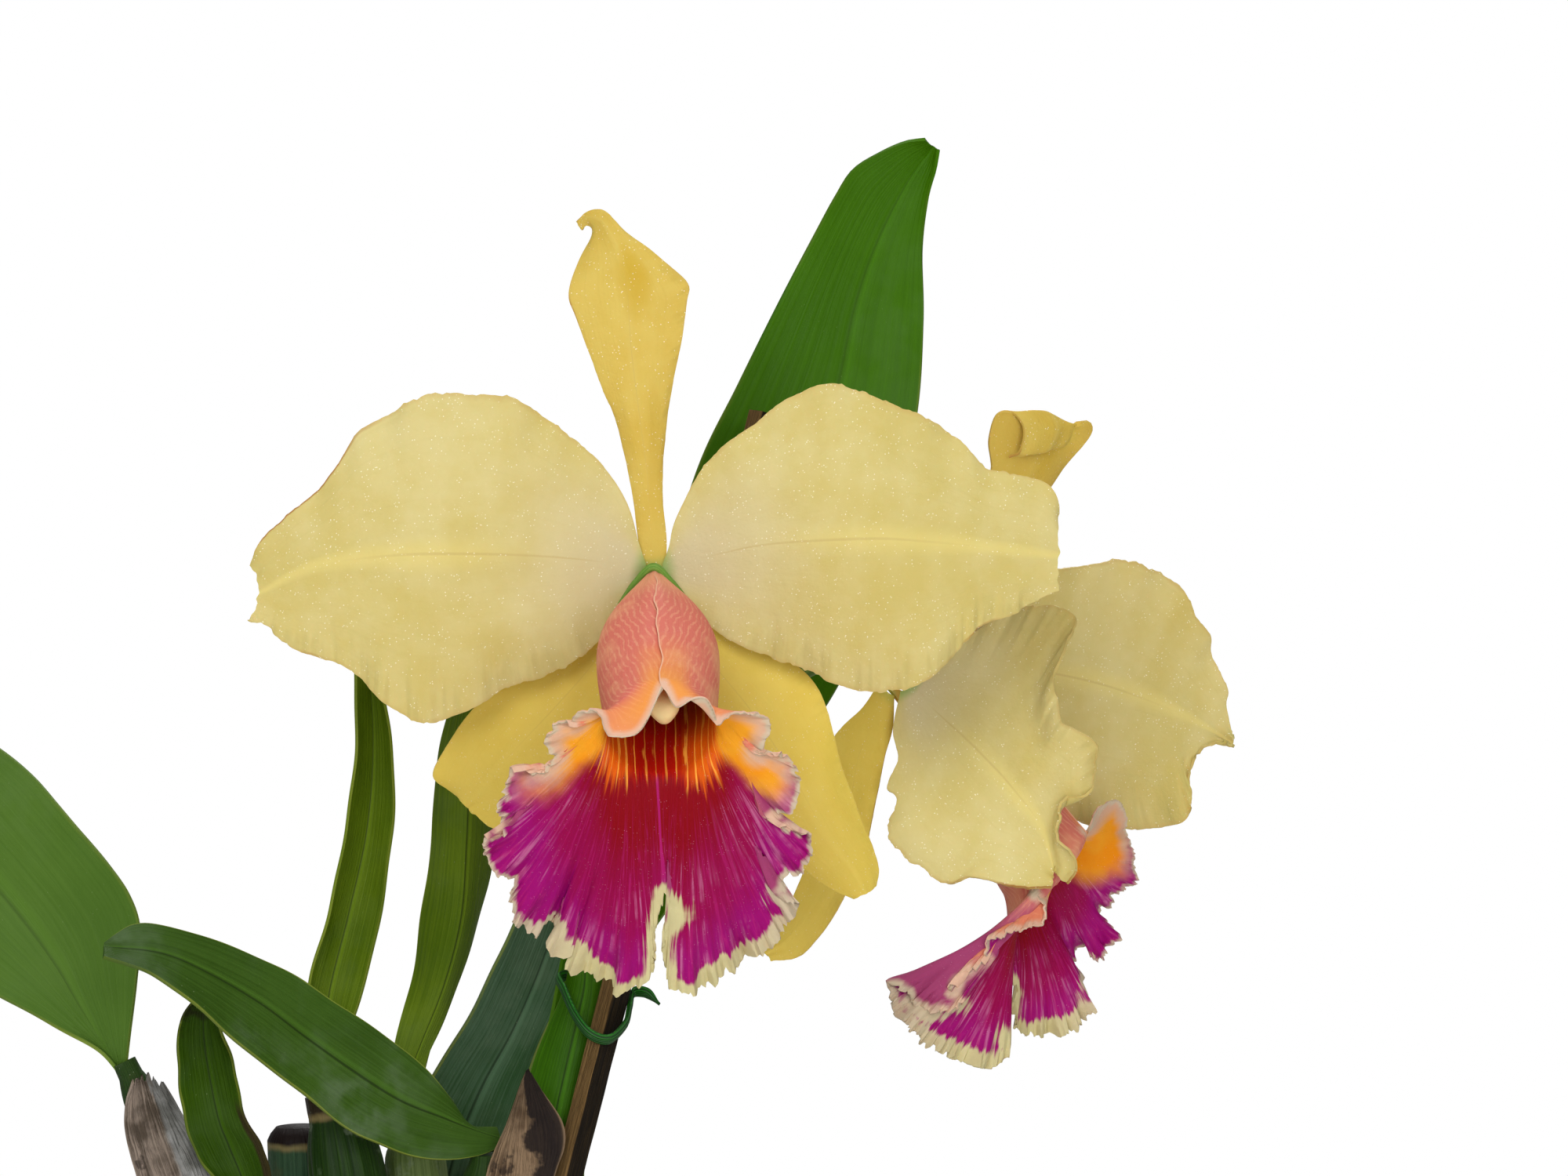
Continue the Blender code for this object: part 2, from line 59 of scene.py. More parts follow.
# %% Smooth curves
def smooth_curve(points, count):
    """`count` places evenly spaced along the smooth curve through `points`."""
    points = np.array(points, float)
    ends = np.vstack([2 * points[0] - points[1], points, 2 * points[-1] - points[-2]])
    t = np.linspace(0, 1, 24, endpoint=False)[:, None]
    spans = [0.5 * (2 * b + (c - a) * t + (2 * a - 5 * b + 4 * c - d) * t**2 + (3 * b - a - 3 * c + d) * t**3)
             for a, b, c, d in zip(ends, ends[1:], ends[2:], ends[3:])]
    fine = np.vstack([*spans, points[-1:]])
    distance = np.concatenate([[0], np.cumsum(np.linalg.norm(np.diff(fine, axis=0), axis=1))])
    wanted = np.linspace(0, distance[-1], count)
    return np.stack([np.interp(wanted, distance, values) for values in fine.T], axis=1)


def rail(outline, depth, count):
    """An edge or a rib drawn from the front as (x, z), with its depth at evenly spaced places."""
    flat = smooth_curve(outline, count)
    known = np.linspace(0, 1, len(depth))
    y = smooth_curve(np.stack([known * 1000, depth], axis=1), count)
    return np.stack([flat[:, 0], np.interp(np.linspace(0, 1000, count), *y.T), flat[:, 1]], axis=1)


def wander(x, seed):
    """A smooth wave between about -1 and 1 that doesn't seem to repeat."""
    waves = ((1, 1, 1.7), (0.7, 2.3, 3.1), (0.5, 4.1, 5.3))   # height, pace and shift with the seed
    return sum(height * np.sin(pace * x + shift * seed) for height, pace, shift in waves) / 1.8


def rise(x, low, high):
    """0 below `low`, 1 above `high`, and a soft step between them."""
    t = np.clip((x - low) / (high - low), 0, 1)
    return t * t * (3 - 2 * t)


# %% [markdown]
# ## Sheets
#
# Petals, sepals and leaves are all sheets. Each one could be a flat card bent with modifiers, but
# its outline would then depend on the bend. Here a sheet is stretched over three rails instead: its
# two edges and its rib. Between the rails it can be folded along the rib like a keel, or rounded
# like a gutter, or anything in between. Ruffles are then a push along the sheet's own normals.

# %% Points of a sheet
def stretch(rails, rows, columns, crease):
    """Grid points, in mm, of a sheet over its left edge, rib and right edge."""
    left, rib, right = (rail(outline, depth, rows + 1)[:, None] for outline, depth in rails)
    across = np.linspace(-1, 1, columns + 1)[None, :, None]
    folded = rib + abs(across) * (np.where(across > 0, right, left) - rib)
    rounded = rib + across * (right - left) / 2 + across**2 * ((left + right) / 2 - rib)
    return crease * folded + (1 - crease) * rounded


def unit(vectors):
    """The vectors, kept in their directions, with a length of 1."""
    return vectors / np.maximum(np.linalg.norm(vectors, axis=-1, keepdims=True), 1e-9)


def pushed(points, height):
    """The grid moved by `height` mm along its normals."""
    normals = unit(np.cross(np.gradient(points, axis=1), np.gradient(points, axis=0)))
    return points + normals * height[..., None]


def grid_axes(points):
    """`along`, from 0 to 1 down the rows, and `across`, from -1 to 1 over the columns."""
    rows, columns = points.shape[:2]
    return np.linspace(0, 1, rows)[:, None], np.linspace(-1, 1, columns)[None, :]


# %% [markdown]
# ## From points to a closed piece
#
# `create_grid` makes the faces, and each vertex is then moved to its place. A few numbers ride along
# on the vertices for the finishes to read: how far along the sheet it is, how far across, and which
# side it is on, because the back of a petal isn't coloured like its face. `solidify` would give every
# place the same wall, so the faces are extruded on the spot instead, and the new side is drawn back
# by a wall that is a little thicker along the middle than at the margins, as in a leaf.

# %% Sheets as meshes
def grid_shape(points, place, layer_names):
    """A bmesh of a grid of points, which are in mm from `place`, and the layers its vertices carry.

    The first layer is filled with the share of the rows, and the second with that of the columns."""
    rows, columns = points.shape[0] - 1, points.shape[1] - 1
    shape = bmesh.new()
    layers = [shape.verts.layers.float.new(name) for name in layer_names]
    bmesh.ops.create_grid(shape, x_segments=columns, y_segments=rows, size=0.5)
    for vertex in shape.verts:
        row, column = round((vertex.co.y + 0.5) * rows), round((vertex.co.x + 0.5) * columns)
        vertex[layers[0]], vertex[layers[1]] = row / rows, column / columns
        vertex.co = (Vector(points[row, column]) + Vector(place)) * MM
    return shape, layers


def new_piece(name, shape, finish, *nodes, sharp=55):
    """Turns a bmesh into a piece that rides with the plant and stands for the named nodes."""
    mesh = bpy.data.meshes.new(name)
    shape.to_mesh(mesh)
    shape.free()
    mesh.shade_smooth()
    mesh.set_sharp_from_angle(angle=math.radians(sharp))
    mesh.materials.append(finish)
    piece = bpy.data.objects.new(name, mesh)
    bpy.context.collection.objects.link(piece)
    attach(piece, "root")
    for node in nodes:
        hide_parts(node)
    return piece


def sheet_shape(points, thickness, crown=0.0, behind=1, place=(0, 0, 0), to_edge=None):
    """A bmesh of a thin closed sheet, `crown` mm thicker along its middle than at its margins.

    `behind` is 1 where the grid's normals point to the sheet's back, and -1 where they don't.
    `to_edge` is another number to carry, such as each place's distance to the edge in mm."""
    rows, columns = points.shape[0] - 1, points.shape[1] - 1
    along, across = grid_axes(points)
    fullness = (1 - across**2) * np.minimum(1, 6 * np.minimum(along, 1 - along))
    wall = pushed(points, behind * (thickness + crown * fullness)) - points
    shape, (along, across, side, edge) = grid_shape(points, place, ("along", "across", "side", "to_edge"))
    made = bmesh.ops.extrude_face_region(shape, geom=shape.faces[:], use_keep_orig=True)
    for vertex in (element for element in made["geom"] if isinstance(element, bmesh.types.BMVert)):
        vertex[side] = 1
    for vertex in shape.verts:
        row, column = round(vertex[along] * rows), round(vertex[across] * columns)
        vertex[across] = 2 * column / columns - 1
        vertex[edge] = 0 if to_edge is None else to_edge[row, column]
        vertex.co += Vector(wall[row, column]) * (MM * vertex[side])
    bmesh.ops.recalc_face_normals(shape, faces=shape.faces)
    return shape


# %% [markdown]
# ## Shader sums written as Python sums
#
# A finish is a web of nodes, and most of them only add, multiply or compare. Wrapping a socket in a
# small class with the arithmetic operators lets such a web be read as ordinary formulas. Colours
# can't go through a Math node, which would turn them grey, so they are blended by Mix nodes. They
# are written as screen colours, from 0 to 255, and turned into linear light where they are used.

# %% Sockets and finishes
class Value:
    """A socket of a finish, which can be used in sums."""

    def __init__(self, finish, socket):
        self.finish, self.socket = finish, socket

    def maths(self, operation, *operands):
        return self.finish.node("ShaderNodeMath", {"operation": operation}, dict(enumerate(operands)))

    def __add__(self, other):
        return self.maths("ADD", self, other)

    def __sub__(self, other):
        return self.maths("SUBTRACT", self, other)

    def __rsub__(self, other):
        return self.maths("SUBTRACT", other, self)

    def __mul__(self, other):
        return self.maths("MULTIPLY", self, other)

    def __pow__(self, other):
        return self.maths("POWER", self, other)

    __radd__, __rmul__ = __add__, __mul__

    def size(self):
        return self.maths("ABSOLUTE", self)

    def sine(self):
        return self.maths("SINE", self)

    def rise(self, low, high):
        """0 below `low`, 1 above `high`, soft between; with low above high it falls instead."""
        return self.finish.node("ShaderNodeMapRange", {"interpolation_type": "SMOOTHSTEP"},
                                {0: self, 1: low, 2: high, 3: 0.0, 4: 1.0})


def paint(colour):
    """A screen colour, 0 to 255, as the linear colour that a shader takes. A socket stays a socket."""
    if isinstance(colour, Value):
        return colour
    return (*(((c / 255 + 0.055) / 1.055) ** 2.4 if c > 10 else c / 3295 for c in colour), 1)


def toned(colour, factor):
    """The screen colour made darker or brighter."""
    return tuple(min(255, c * factor) for c in colour)


class Finish:
    """A material under construction, whose Principled shader is already in place."""

    def __init__(self, name, **constants):
        self.material = bpy.data.materials.new(name)
        self.material.use_nodes = True
        self.tree = self.material.node_tree
        self.shader = self.tree.nodes["Principled BSDF"]
        for socket, value in constants.items():
            self.shader.inputs[socket.replace("_", " ")].default_value = value
        self.place = self.node("ShaderNodeTexCoord", output="Object")

    def node(self, kind, settings=None, values=None, output=0):
        """Any node: its settings first, then its sockets' values or links. Returns one output."""
        made = self.tree.nodes.new(kind)
        for setting, value in (settings or {}).items():
            setattr(made, setting, value)
        for socket, value in (values or {}).items():
            if isinstance(value, Value):
                self.tree.links.new(value.socket, made.inputs[socket])
            else:
                made.inputs[socket].default_value = value
        return Value(self, made.outputs[output])

    def carried(self, name):
        """A number that rides on the piece's vertices."""
        return self.node("ShaderNodeAttribute", {"attribute_name": name}, output="Fac")

    def noise(self, scale, detail=3.0, at=None):
        return self.node("ShaderNodeTexNoise", values={"Vector": at or self.place, "Scale": scale,
                                                       "Detail": detail, "Roughness": 0.55})

    def streaks(self, x, y, z=0.0, detail=3.0):
        """Noise read along the piece's own numbers, so that it follows the piece's growth."""
        return self.noise(1.0, detail, at=self.node("ShaderNodeCombineXYZ", values={0: x, 1: y, 2: z}))

    def cells(self, scale):
        """Distance to the nearest of many scattered points, from 0 at a point."""
        return self.node("ShaderNodeTexVoronoi", values={"Vector": self.place, "Scale": scale})

    def mix(self, first, second, share):
        """A blend of two colours, each a socket or a screen colour from 0 to 255."""
        sockets = {0: share, 6: paint(first), 7: paint(second)}
        return self.node("ShaderNodeMix", {"data_type": "RGBA"}, sockets, output=2)

    def done(self, colour, roughness, height, depth, strength=1.0):
        """Connects the colour, the roughness and the bump, `depth` metres deep, and ends the work."""
        bump = self.node("ShaderNodeBump", values={"Strength": strength, "Distance": depth, "Height": height})
        for socket, value in (("Base Color", colour), ("Roughness", roughness), ("Normal", bump)):
            self.tree.links.new(value.socket, self.shader.inputs[socket])
        return self.material


# %% [markdown]
# ## Petal tissue
#
# A cattleya's petals look soft and slightly frosted: their surface is covered with tiny crystalline
# cells, and the light they catch is painted into the colour as scattered pale specks. Under that the
# colour drifts slowly from butter to cream and pales towards the heart. A painted highlight runs
# along the rib's upper side, and painted shade lies in the pleats near the margin and in a thin
# crease down the rib. Faint veins fan out with the sheet, which is why they are drawn along the
# carried numbers and not in space. The back of a petal is a little duller.

# %% Petal and sepal finishes
def tissue(name, deep, pale, heart, rib_highlight, heart_reach=0.3, veins=0.1, spot=None):
    """`heart_reach` is how far the heart's colour runs out; `spot` is the place of a deeper yellow blush."""
    finish = Finish(name, Subsurface_Weight=0.1, Subsurface_Scale=0.002, Specular_IOR_Level=0.16)
    along, across, side = (finish.carried(layer) for layer in ("along", "across", "side"))
    drift = finish.noise(42, 4.0) * 0.6 + finish.noise(170, 3.0) * 0.4
    colour = finish.mix(deep, pale, drift.rise(0.3, 0.7))
    fan = finish.streaks(across * 20, along * 2.0, detail=4)
    colour = finish.mix(colour, toned(deep, 0.9), fan.rise(0.52, 0.75) * veins)
    # Painted shade in the pleats' furrows near the margin; the same pattern also makes their bump
    pleats = finish.streaks(along * 34, across * 1.5, detail=2) * across.rise(0.35, 0.95)
    colour = finish.mix(colour, toned(deep, 0.88), pleats.rise(0.42, 0.62) * 0.28)
    # A painted highlight along the rib's upper side, where the fold faces the light
    band = (across + finish.noise(30) * 0.1 - 0.05).size().rise(0.15, 0.0) * along.rise(0.15, 0.6)
    colour = finish.mix(colour, rib_highlight, band * 0.6)
    near_heart = (along + finish.noise(50) * 0.12).rise(heart_reach + 0.2, 0.05)
    colour = finish.mix(colour, heart, near_heart * across.size().rise(1.2, 0.3) * 0.85)
    colour = finish.mix(colour, (128, 160, 78), along.rise(0.045, 0.0) * 0.8)
    if spot:
        off_spot = ((along - spot[0]) * 5) ** 2 + ((across - spot[1]) * 1.6) ** 2
        colour = finish.mix(colour, (196, 160, 40), (off_spot + finish.noise(120) * 0.3).rise(0.6, 0.1) * 0.7)
    rim = (across.size() + finish.noise(220) * 0.06).rise(0.985, 1.04)
    colour = finish.mix(colour, (190, 160, 92), rim * 0.5)
    scorched = (across.size() + finish.noise(160) * 0.04).rise(0.985, 1.01) * along.rise(0.6, 0.8)
    colour = finish.mix(colour, (150, 96, 34), scorched * finish.noise(26).rise(0.52, 0.58) * 0.8)
    # A thin darker line down the rib: painted shade in its crease
    crease = across.size().rise(0.014, 0.003) * along.rise(0.08, 0.2) * along.rise(0.85, 0.5)
    colour = finish.mix(colour, (184, 156, 92), crease * 0.35)
    # Painted glints: scattered near-white specks in the colour stand for light caught by the crystalline
    # cells; they also lower the roughness
    painted_glint = finish.cells(1500).rise(0.22, 0.07) * finish.noise(500, 1.0).rise(0.44, 0.56)
    colour = finish.mix(colour, (255, 253, 232), painted_glint * 0.65)
    colour = finish.mix(colour, toned(deep, 0.95), side * 0.5)
    relief = fan * 0.2 + finish.noise(1300, 2.0) * 0.35 + finish.noise(240) * 0.45 + pleats * 0.6
    return finish.done(colour, 0.6 - painted_glint * 0.3, relief, 0.0006, 0.5)


petal_finish = tissue("petal tissue", (200, 182, 104), (211, 197, 134), (204, 190, 152), (222, 205, 124))
# The sepals are one tissue: the lateral sepals' colours are lifted as painted light to make up for the shade
# the petals cast on them, and the dorsal sepal's are lowered as painted shade
LIT_SEPAL_COLOURS = ((222, 194, 80), (233, 209, 104), (229, 202, 96), (235, 211, 104))
lit_sepal_finish = tissue("sepal tissue", *LIT_SEPAL_COLOURS, heart_reach=0.04, veins=0.12)
SHADED_DORSAL_COLOURS = ((204, 172, 70), (212, 186, 92), (206, 178, 82), (210, 184, 92))
shaded_dorsal_finish = tissue("dorsal sepal tissue", *SHADED_DORSAL_COLOURS, heart_reach=0.04, veins=0.12, spot=(0.74, 0.2))


# %% [markdown]
# ## The first flower's petals and sepals
#
# A cattleya has three sepals behind and two broad petals in front of them. All five meet at the
# heart. The petals' margins are wavy and pleated: short furrows run in from the edge and fade before
# they reach the rib. The furrows are pushed into the mesh, and the margin itself is nicked.

# %% Pleats, waves and nicks
WAVE_LENGTH, PLEAT_LENGTH, NICK_LENGTH = 6.5, 1.25, 0.8   # mm of margin for each radian of a ripple
UPPER_PLEATS = 0.12              # the upper margin is pleated this much as deeply as the lower one


def margin_length(points):
    """For every place of a sheet, the mm along the margin on its own side, from the base."""
    sides = []
    for column in (0, -1):
        steps = np.linalg.norm(np.diff(points[:, column], axis=0), axis=1)
        sides.append(np.concatenate([[0], np.cumsum(steps)])[:, None])
    return np.where(np.linspace(-1, 1, points.shape[1])[None, :] > 0, sides[1], sides[0])


def petal_surface(points, seed, wave=1.0, pleat=0.5, nick=0.34):
    """Adds a slow swell, waves along the margin, short pleats and a nicked outline, all in mm."""
    along, across = grid_axes(points)
    length = margin_length(points) + 40 * seed * np.sign(across)
    inside = rise(along, 0.03, 0.3)
    swell = wander(5 * along + seed, seed) * wander(2.6 * across + seed, seed + 1) * 0.8 * wave
    long_wave = wander(length / WAVE_LENGTH, seed) * wave * abs(across) ** 3
    share = np.where(across > 0, 1.0, UPPER_PLEATS) * (0.6 + 0.4 * wander(length / 9, seed + 4))
    short = wander(length / PLEAT_LENGTH, seed + 2) * pleat * share * rise(abs(across), 0.5, 1)
    outward = unit(np.gradient(points, axis=1)) * np.sign(across)[..., None]
    onward = unit(np.gradient(points, axis=0))
    patchy = 0.25 + 0.75 * rise(wander(length / 11, seed + 8), -0.2, 0.8)
    uneven = wander(length / NICK_LENGTH, seed + 5) * nick * patchy * rise(abs(across), 0.9, 1) * inside
    at_tip = wander(5 * across, seed + 6) * nick * rise(along, 0.92, 1)
    moved = points + outward * uneven[..., None] + onward * at_tip[..., None]
    return pushed(moved, (swell + long_wave + short) * inside)


FLOWER_1 = (38, -50, 340)        # mm, where the first flower's petals meet
TEPALS_1 = {
    "dorsal_sepal": (
        ([(-2.2, 0.4), (-3.2, 6.5), (-3.6, 9.5), (-4.5, 16), (-7.3, 27.5), (-10.6, 36.5), (-14.6, 47),
          (-16, 51.5), (-14.6, 57.6), (-12.2, 62.4), (-12, 64.2), (-13, 64.8), (-13.8, 64)],
         (0.5, 1, 0, 0, 2, 9)),
        ([(-0.1, 0), (-1, 11.6), (-1.5, 19), (-3, 30.5), (-4.4, 42), (-5.1, 52), (-6.6, 59.5), (-9.6, 65),
          (-11.4, 66.2), (-13.2, 66.2), (-14.4, 64.6)], (0.5, 0, -2, -2, 0, 9)),
        ([(2, 0.4), (2.2, 6), (1.5, 13), (1.6, 18), (2, 25), (3.2, 33.5), (4.7, 41.5), (6, 50), (6.2, 53.6),
          (2, 57.6), (-4.4, 62.6), (-7.3, 65.2), (-10, 67.6), (-12.8, 67.2), (-14.6, 65.4)],
         (0.5, 1, 0, 0, 2, 9)),
    ),
    "petal_left": (
        ([(-1.6, 1.4), (-3, 5.6), (-4.6, 11.4), (-7.3, 16.7), (-12.4, 22.6), (-19.7, 28.4), (-27, 32.3),
          (-34.2, 32.8), (-41.5, 32.9), (-48.8, 29.8), (-55.3, 25.8), (-59.3, 19), (-65.5, 12.4),
          (-72.8, 6.4), (-75.6, 1.5)], (0, -1, -2, -1, 1)),
        ([(-1.8, 0.2), (-8, 1.6), (-19.5, 2.8), (-34, 3.3), (-48.5, 3), (-63, 1), (-73.4, -4)],
         (0, -4.5, -6, -4, 0)),
        ([(-2, -1.6), (-6.4, -6.4), (-10.6, -13.2), (-19.7, -19.2), (-27, -21.6), (-34.2, -25.4),
          (-42.5, -28), (-50.2, -24), (-57.5, -17.8), (-67, -14.3), (-72.8, -9.7), (-75.6, -9.3)],
         (0, -1, -2, -2, 0)),
    ),
    "petal_right": (
        ([(1.4, 1.4), (2.6, 4.6), (4, 10), (9.5, 20), (16.7, 26.2), (24, 32), (33.5, 34.8), (43, 31.4),
          (51.7, 28.2), (56.8, 24.8), (61.4, 19.6), (68.4, 17.8), (72.8, 16.2), (74.6, 10.5)],
         (0, -1, -2, -1, 2)),
        ([(1.6, 0.2), (6, 1.6), (12.4, 3.4), (20.4, 5), (31.3, 5.8), (42.2, 6.1), (50.2, 5.6), (59, 4.8),
          (75, 3)], (0, -5, -8, -5, 0)),
        ([(1.8, -1.6), (6, -6), (10.4, -10.2), (14.6, -12.8), (22, -16), (29, -18.6), (35, -21.5),
          (39.3, -22.5), (48, -21.2), (55.3, -15.8), (59.6, -10.5), (67.7, -7.5), (75, -3.6)],
         (0, -1, -2, -2, 1)),
    ),
    "lateral_sepal_left": (
        ([(-3.5, -2.5), (-14, -10.5), (-26, -17.5), (-34.5, -26), (-39.7, -33.3), (-42, -38), (-39.5, -40.5),
          (-37, -42)], (4, 6, 7, 10, 16)),
        ([(-2.6, -3.7), (-9.5, -14.5), (-18.5, -25), (-28, -35), (-34, -42), (-35.8, -44)], (3, 5, 6, 9, 16)),
        ([(-1.2, -4.6), (-5, -17.5), (-10, -33), (-18, -44), (-26, -48.8), (-31, -48), (-34.5, -45)],
         (3, 5, 6, 9, 16)),
    ),
    "lateral_sepal_right": (
        ([(1.2, -4.6), (4.5, -19), (10, -32.5), (16.5, -44.5), (28, -55.4), (33, -59), (37, -60.6)],
         (3, 5, 6, 5, 3)),
        ([(2.6, -3.7), (9.5, -15.5), (17.5, -25.5), (24.5, -36), (31.5, -48.5), (36.5, -55), (39.2, -60)],
         (3, 4, 5, 3, 3)),
        ([(3.5, -2.5), (14, -11), (24, -16), (30.6, -22.5), (34.9, -37), (38, -45.5), (41.3, -54.6),
          (40.8, -58.5)], (4, 7, 7, 7, 5)),
    ),
}
BACK_NORMALS = {"petal_left"}    # sheets whose rails run so that their normals point to the back


def tepal_finish(part):
    if part == "dorsal_sepal":
        return shaded_dorsal_finish
    return lit_sepal_finish if "sepal" in part else petal_finish


def make_tepals(flower, place, tepals, back_normals, seed):
    for number, (part, rails) in enumerate(tepals.items(), seed):
        if "petal" in part:
            points = petal_surface(stretch(rails, 150, 90, crease=0.35), number)
        else:
            points = stretch(rails, 120, 50, crease=0.3)
            points = petal_surface(points, number, wave=0.3, pleat=0.04, nick=0.07)
        shape = sheet_shape(points, 0.5, 0.3, 1 if part in back_normals else -1, place)
        new_piece(f"{flower}_{part}_bloom", shape, tepal_finish(part), f"{flower}_{part}")
        print(flower, part, "margin to margin, mm:", np.ptp(points.reshape(-1, 3), axis=0).round(1))


make_tepals("flower_1", FLOWER_1, TEPALS_1, BACK_NORMALS, seed=1)

# %% [markdown]
# ## The lip
#
# The lip is the third petal, and the showpiece. Its base is rolled into a tube around the column,
# with a seam on top where its two side lobes meet, and then it opens into a wide frilled skirt. It
# is one grid: its columns run from the base out to the margin, and going over the columns goes once
# around the tube, from the seam down one side and up the other. The rows nearest the base are rings
# of the tube. Further out, each column leaves the mouth along the tube and bends over to its own
# place on the margin.

# %% The lip's surface
WRAP = 1.03                      # turns of the tube, a little over one where the side lobes overlap
TUBE_SHARE = 0.4                 # the part of the rows that make the tube
FOLD_DEPTH, CRIMP_DEPTH = 1.9, 0.9   # mm, of the skirt's broad folds and of the fine ones at its margin


def tube_radii(share, narrow, wide):
    """An egg's profile: the tube swells quickly behind its start, then draws in before its mouth."""
    return narrow + (wide - narrow) * np.sin(np.pi / 2 * np.clip(share / 0.58, 0, 1)) ** 1.05 * (
        1 - 0.1 * rise(share, 0.6, 1))


def lip_surface(plan, rows=68, columns=700):
    start, mouth, up = (np.array(plan[key], float) for key in ("start", "mouth", "up"))
    axis = unit(mouth - start)
    side = np.cross(up, axis)
    half = columns // 2
    left, right = (rail(outline, depth, half + 1) for outline, depth in plan["margins"])
    ragged = np.vstack([left, right[-2::-1]])
    margin = smoothed(ragged, columns // 16)
    along, across = grid_axes(np.zeros((rows + 1, columns + 1, 3)))
    on_tube = np.clip(along / TUBE_SHARE, 0, 1)
    seam_wave = 0.05 * wander(9 * on_tube, 2) * rise(across, 0.9, 1)
    angle = math.pi * WRAP * across - 0.09 + seam_wave
    radius = tube_radii(on_tube, *plan["radii"])
    tucked = 1 - 0.07 * rise(-across, 0.85, 0.97)
    from_top = np.minimum(abs(abs(angle) - math.pi), 1)
    flat = 0.55 + 0.45 * on_tube + 0.25 * (1 - on_tube) ** 2 * rise(from_top, 0.5, 0)
    sideways, upward = radius * np.sin(angle) * tucked, -radius * np.cos(angle) * flat * tucked
    ring = start + (mouth - start) * on_tube[..., None] + side * sideways[..., None] + up * upward[..., None]
    t = np.clip((along - TUBE_SHARE) / (1 - TUBE_SHARE), 0, 1)[..., None]
    reach = np.linalg.norm(margin - ring, axis=2, keepdims=True)
    leave = axis * reach * plan["thrust"]
    arrive = unit(margin - mouth) * reach * 0.8
    surface = ((2 * t**3 - 3 * t**2 + 1) * ring + (t**3 - 2 * t**2 + t) * leave
               + (3 * t**2 - 2 * t**3) * margin + (t**3 - t**2) * arrive)
    surface = surface + (ragged - margin) * rise(along, 0.66, 1)[..., None] ** 1.3
    return frilled(surface, plan["seed"])


def smoothed(line, reach):
    """The line with every point at the middle of its neighbours, `reach` of them on each side."""
    padded = np.vstack([2 * line[0] - line[reach:0:-1], line, 2 * line[-1] - line[-2:-reach - 2:-1]])
    weights = np.hanning(2 * reach + 3)[1:-1]
    return np.stack([np.convolve(values, weights / weights.sum(), "valid") for values in padded.T], axis=1)


def frilled(points, seed):
    """Folds the skirt's outer part into a ruffle and cuts its margin into fine uneven teeth."""
    along, across = grid_axes(points)
    away = rise(1 - abs(across), 0.04, 0.3) * rise(abs(across), 0.06, 0.2)
    turns = 2 * math.pi * across
    fold = wander(turns * 6.5 + 2 * along, seed) * FOLD_DEPTH * rise(along, 0.78, 1.0) ** 1.5 * away
    crimp = wander(turns * 26, seed + 3) * CRIMP_DEPTH * rise(along, 0.88, 1.0) ** 1.3 * away
    points = pushed(points, fold + crimp)
    outward = unit(np.gradient(points, axis=0))
    frayed = 0.35 + 0.65 * rise(wander(turns * 5, seed + 4), -0.6, 0.6)
    teeth = (wander(turns * 31, seed + 1) * 0.6 + wander(turns * 63, seed + 2) * 0.55) * frayed
    teeth = teeth * rise(along, 0.93, 1) * rise(1 - abs(across), 0.15, 0.3)
    return points + outward * teeth[..., None]


def edge_distance(points):
    """For every place of a grid, how many mm it is from the nearest place of the last row."""
    margin = points[-1][None, ::2]
    return np.stack([np.linalg.norm(row[:, None] - margin, axis=2).min(axis=1) for row in points])
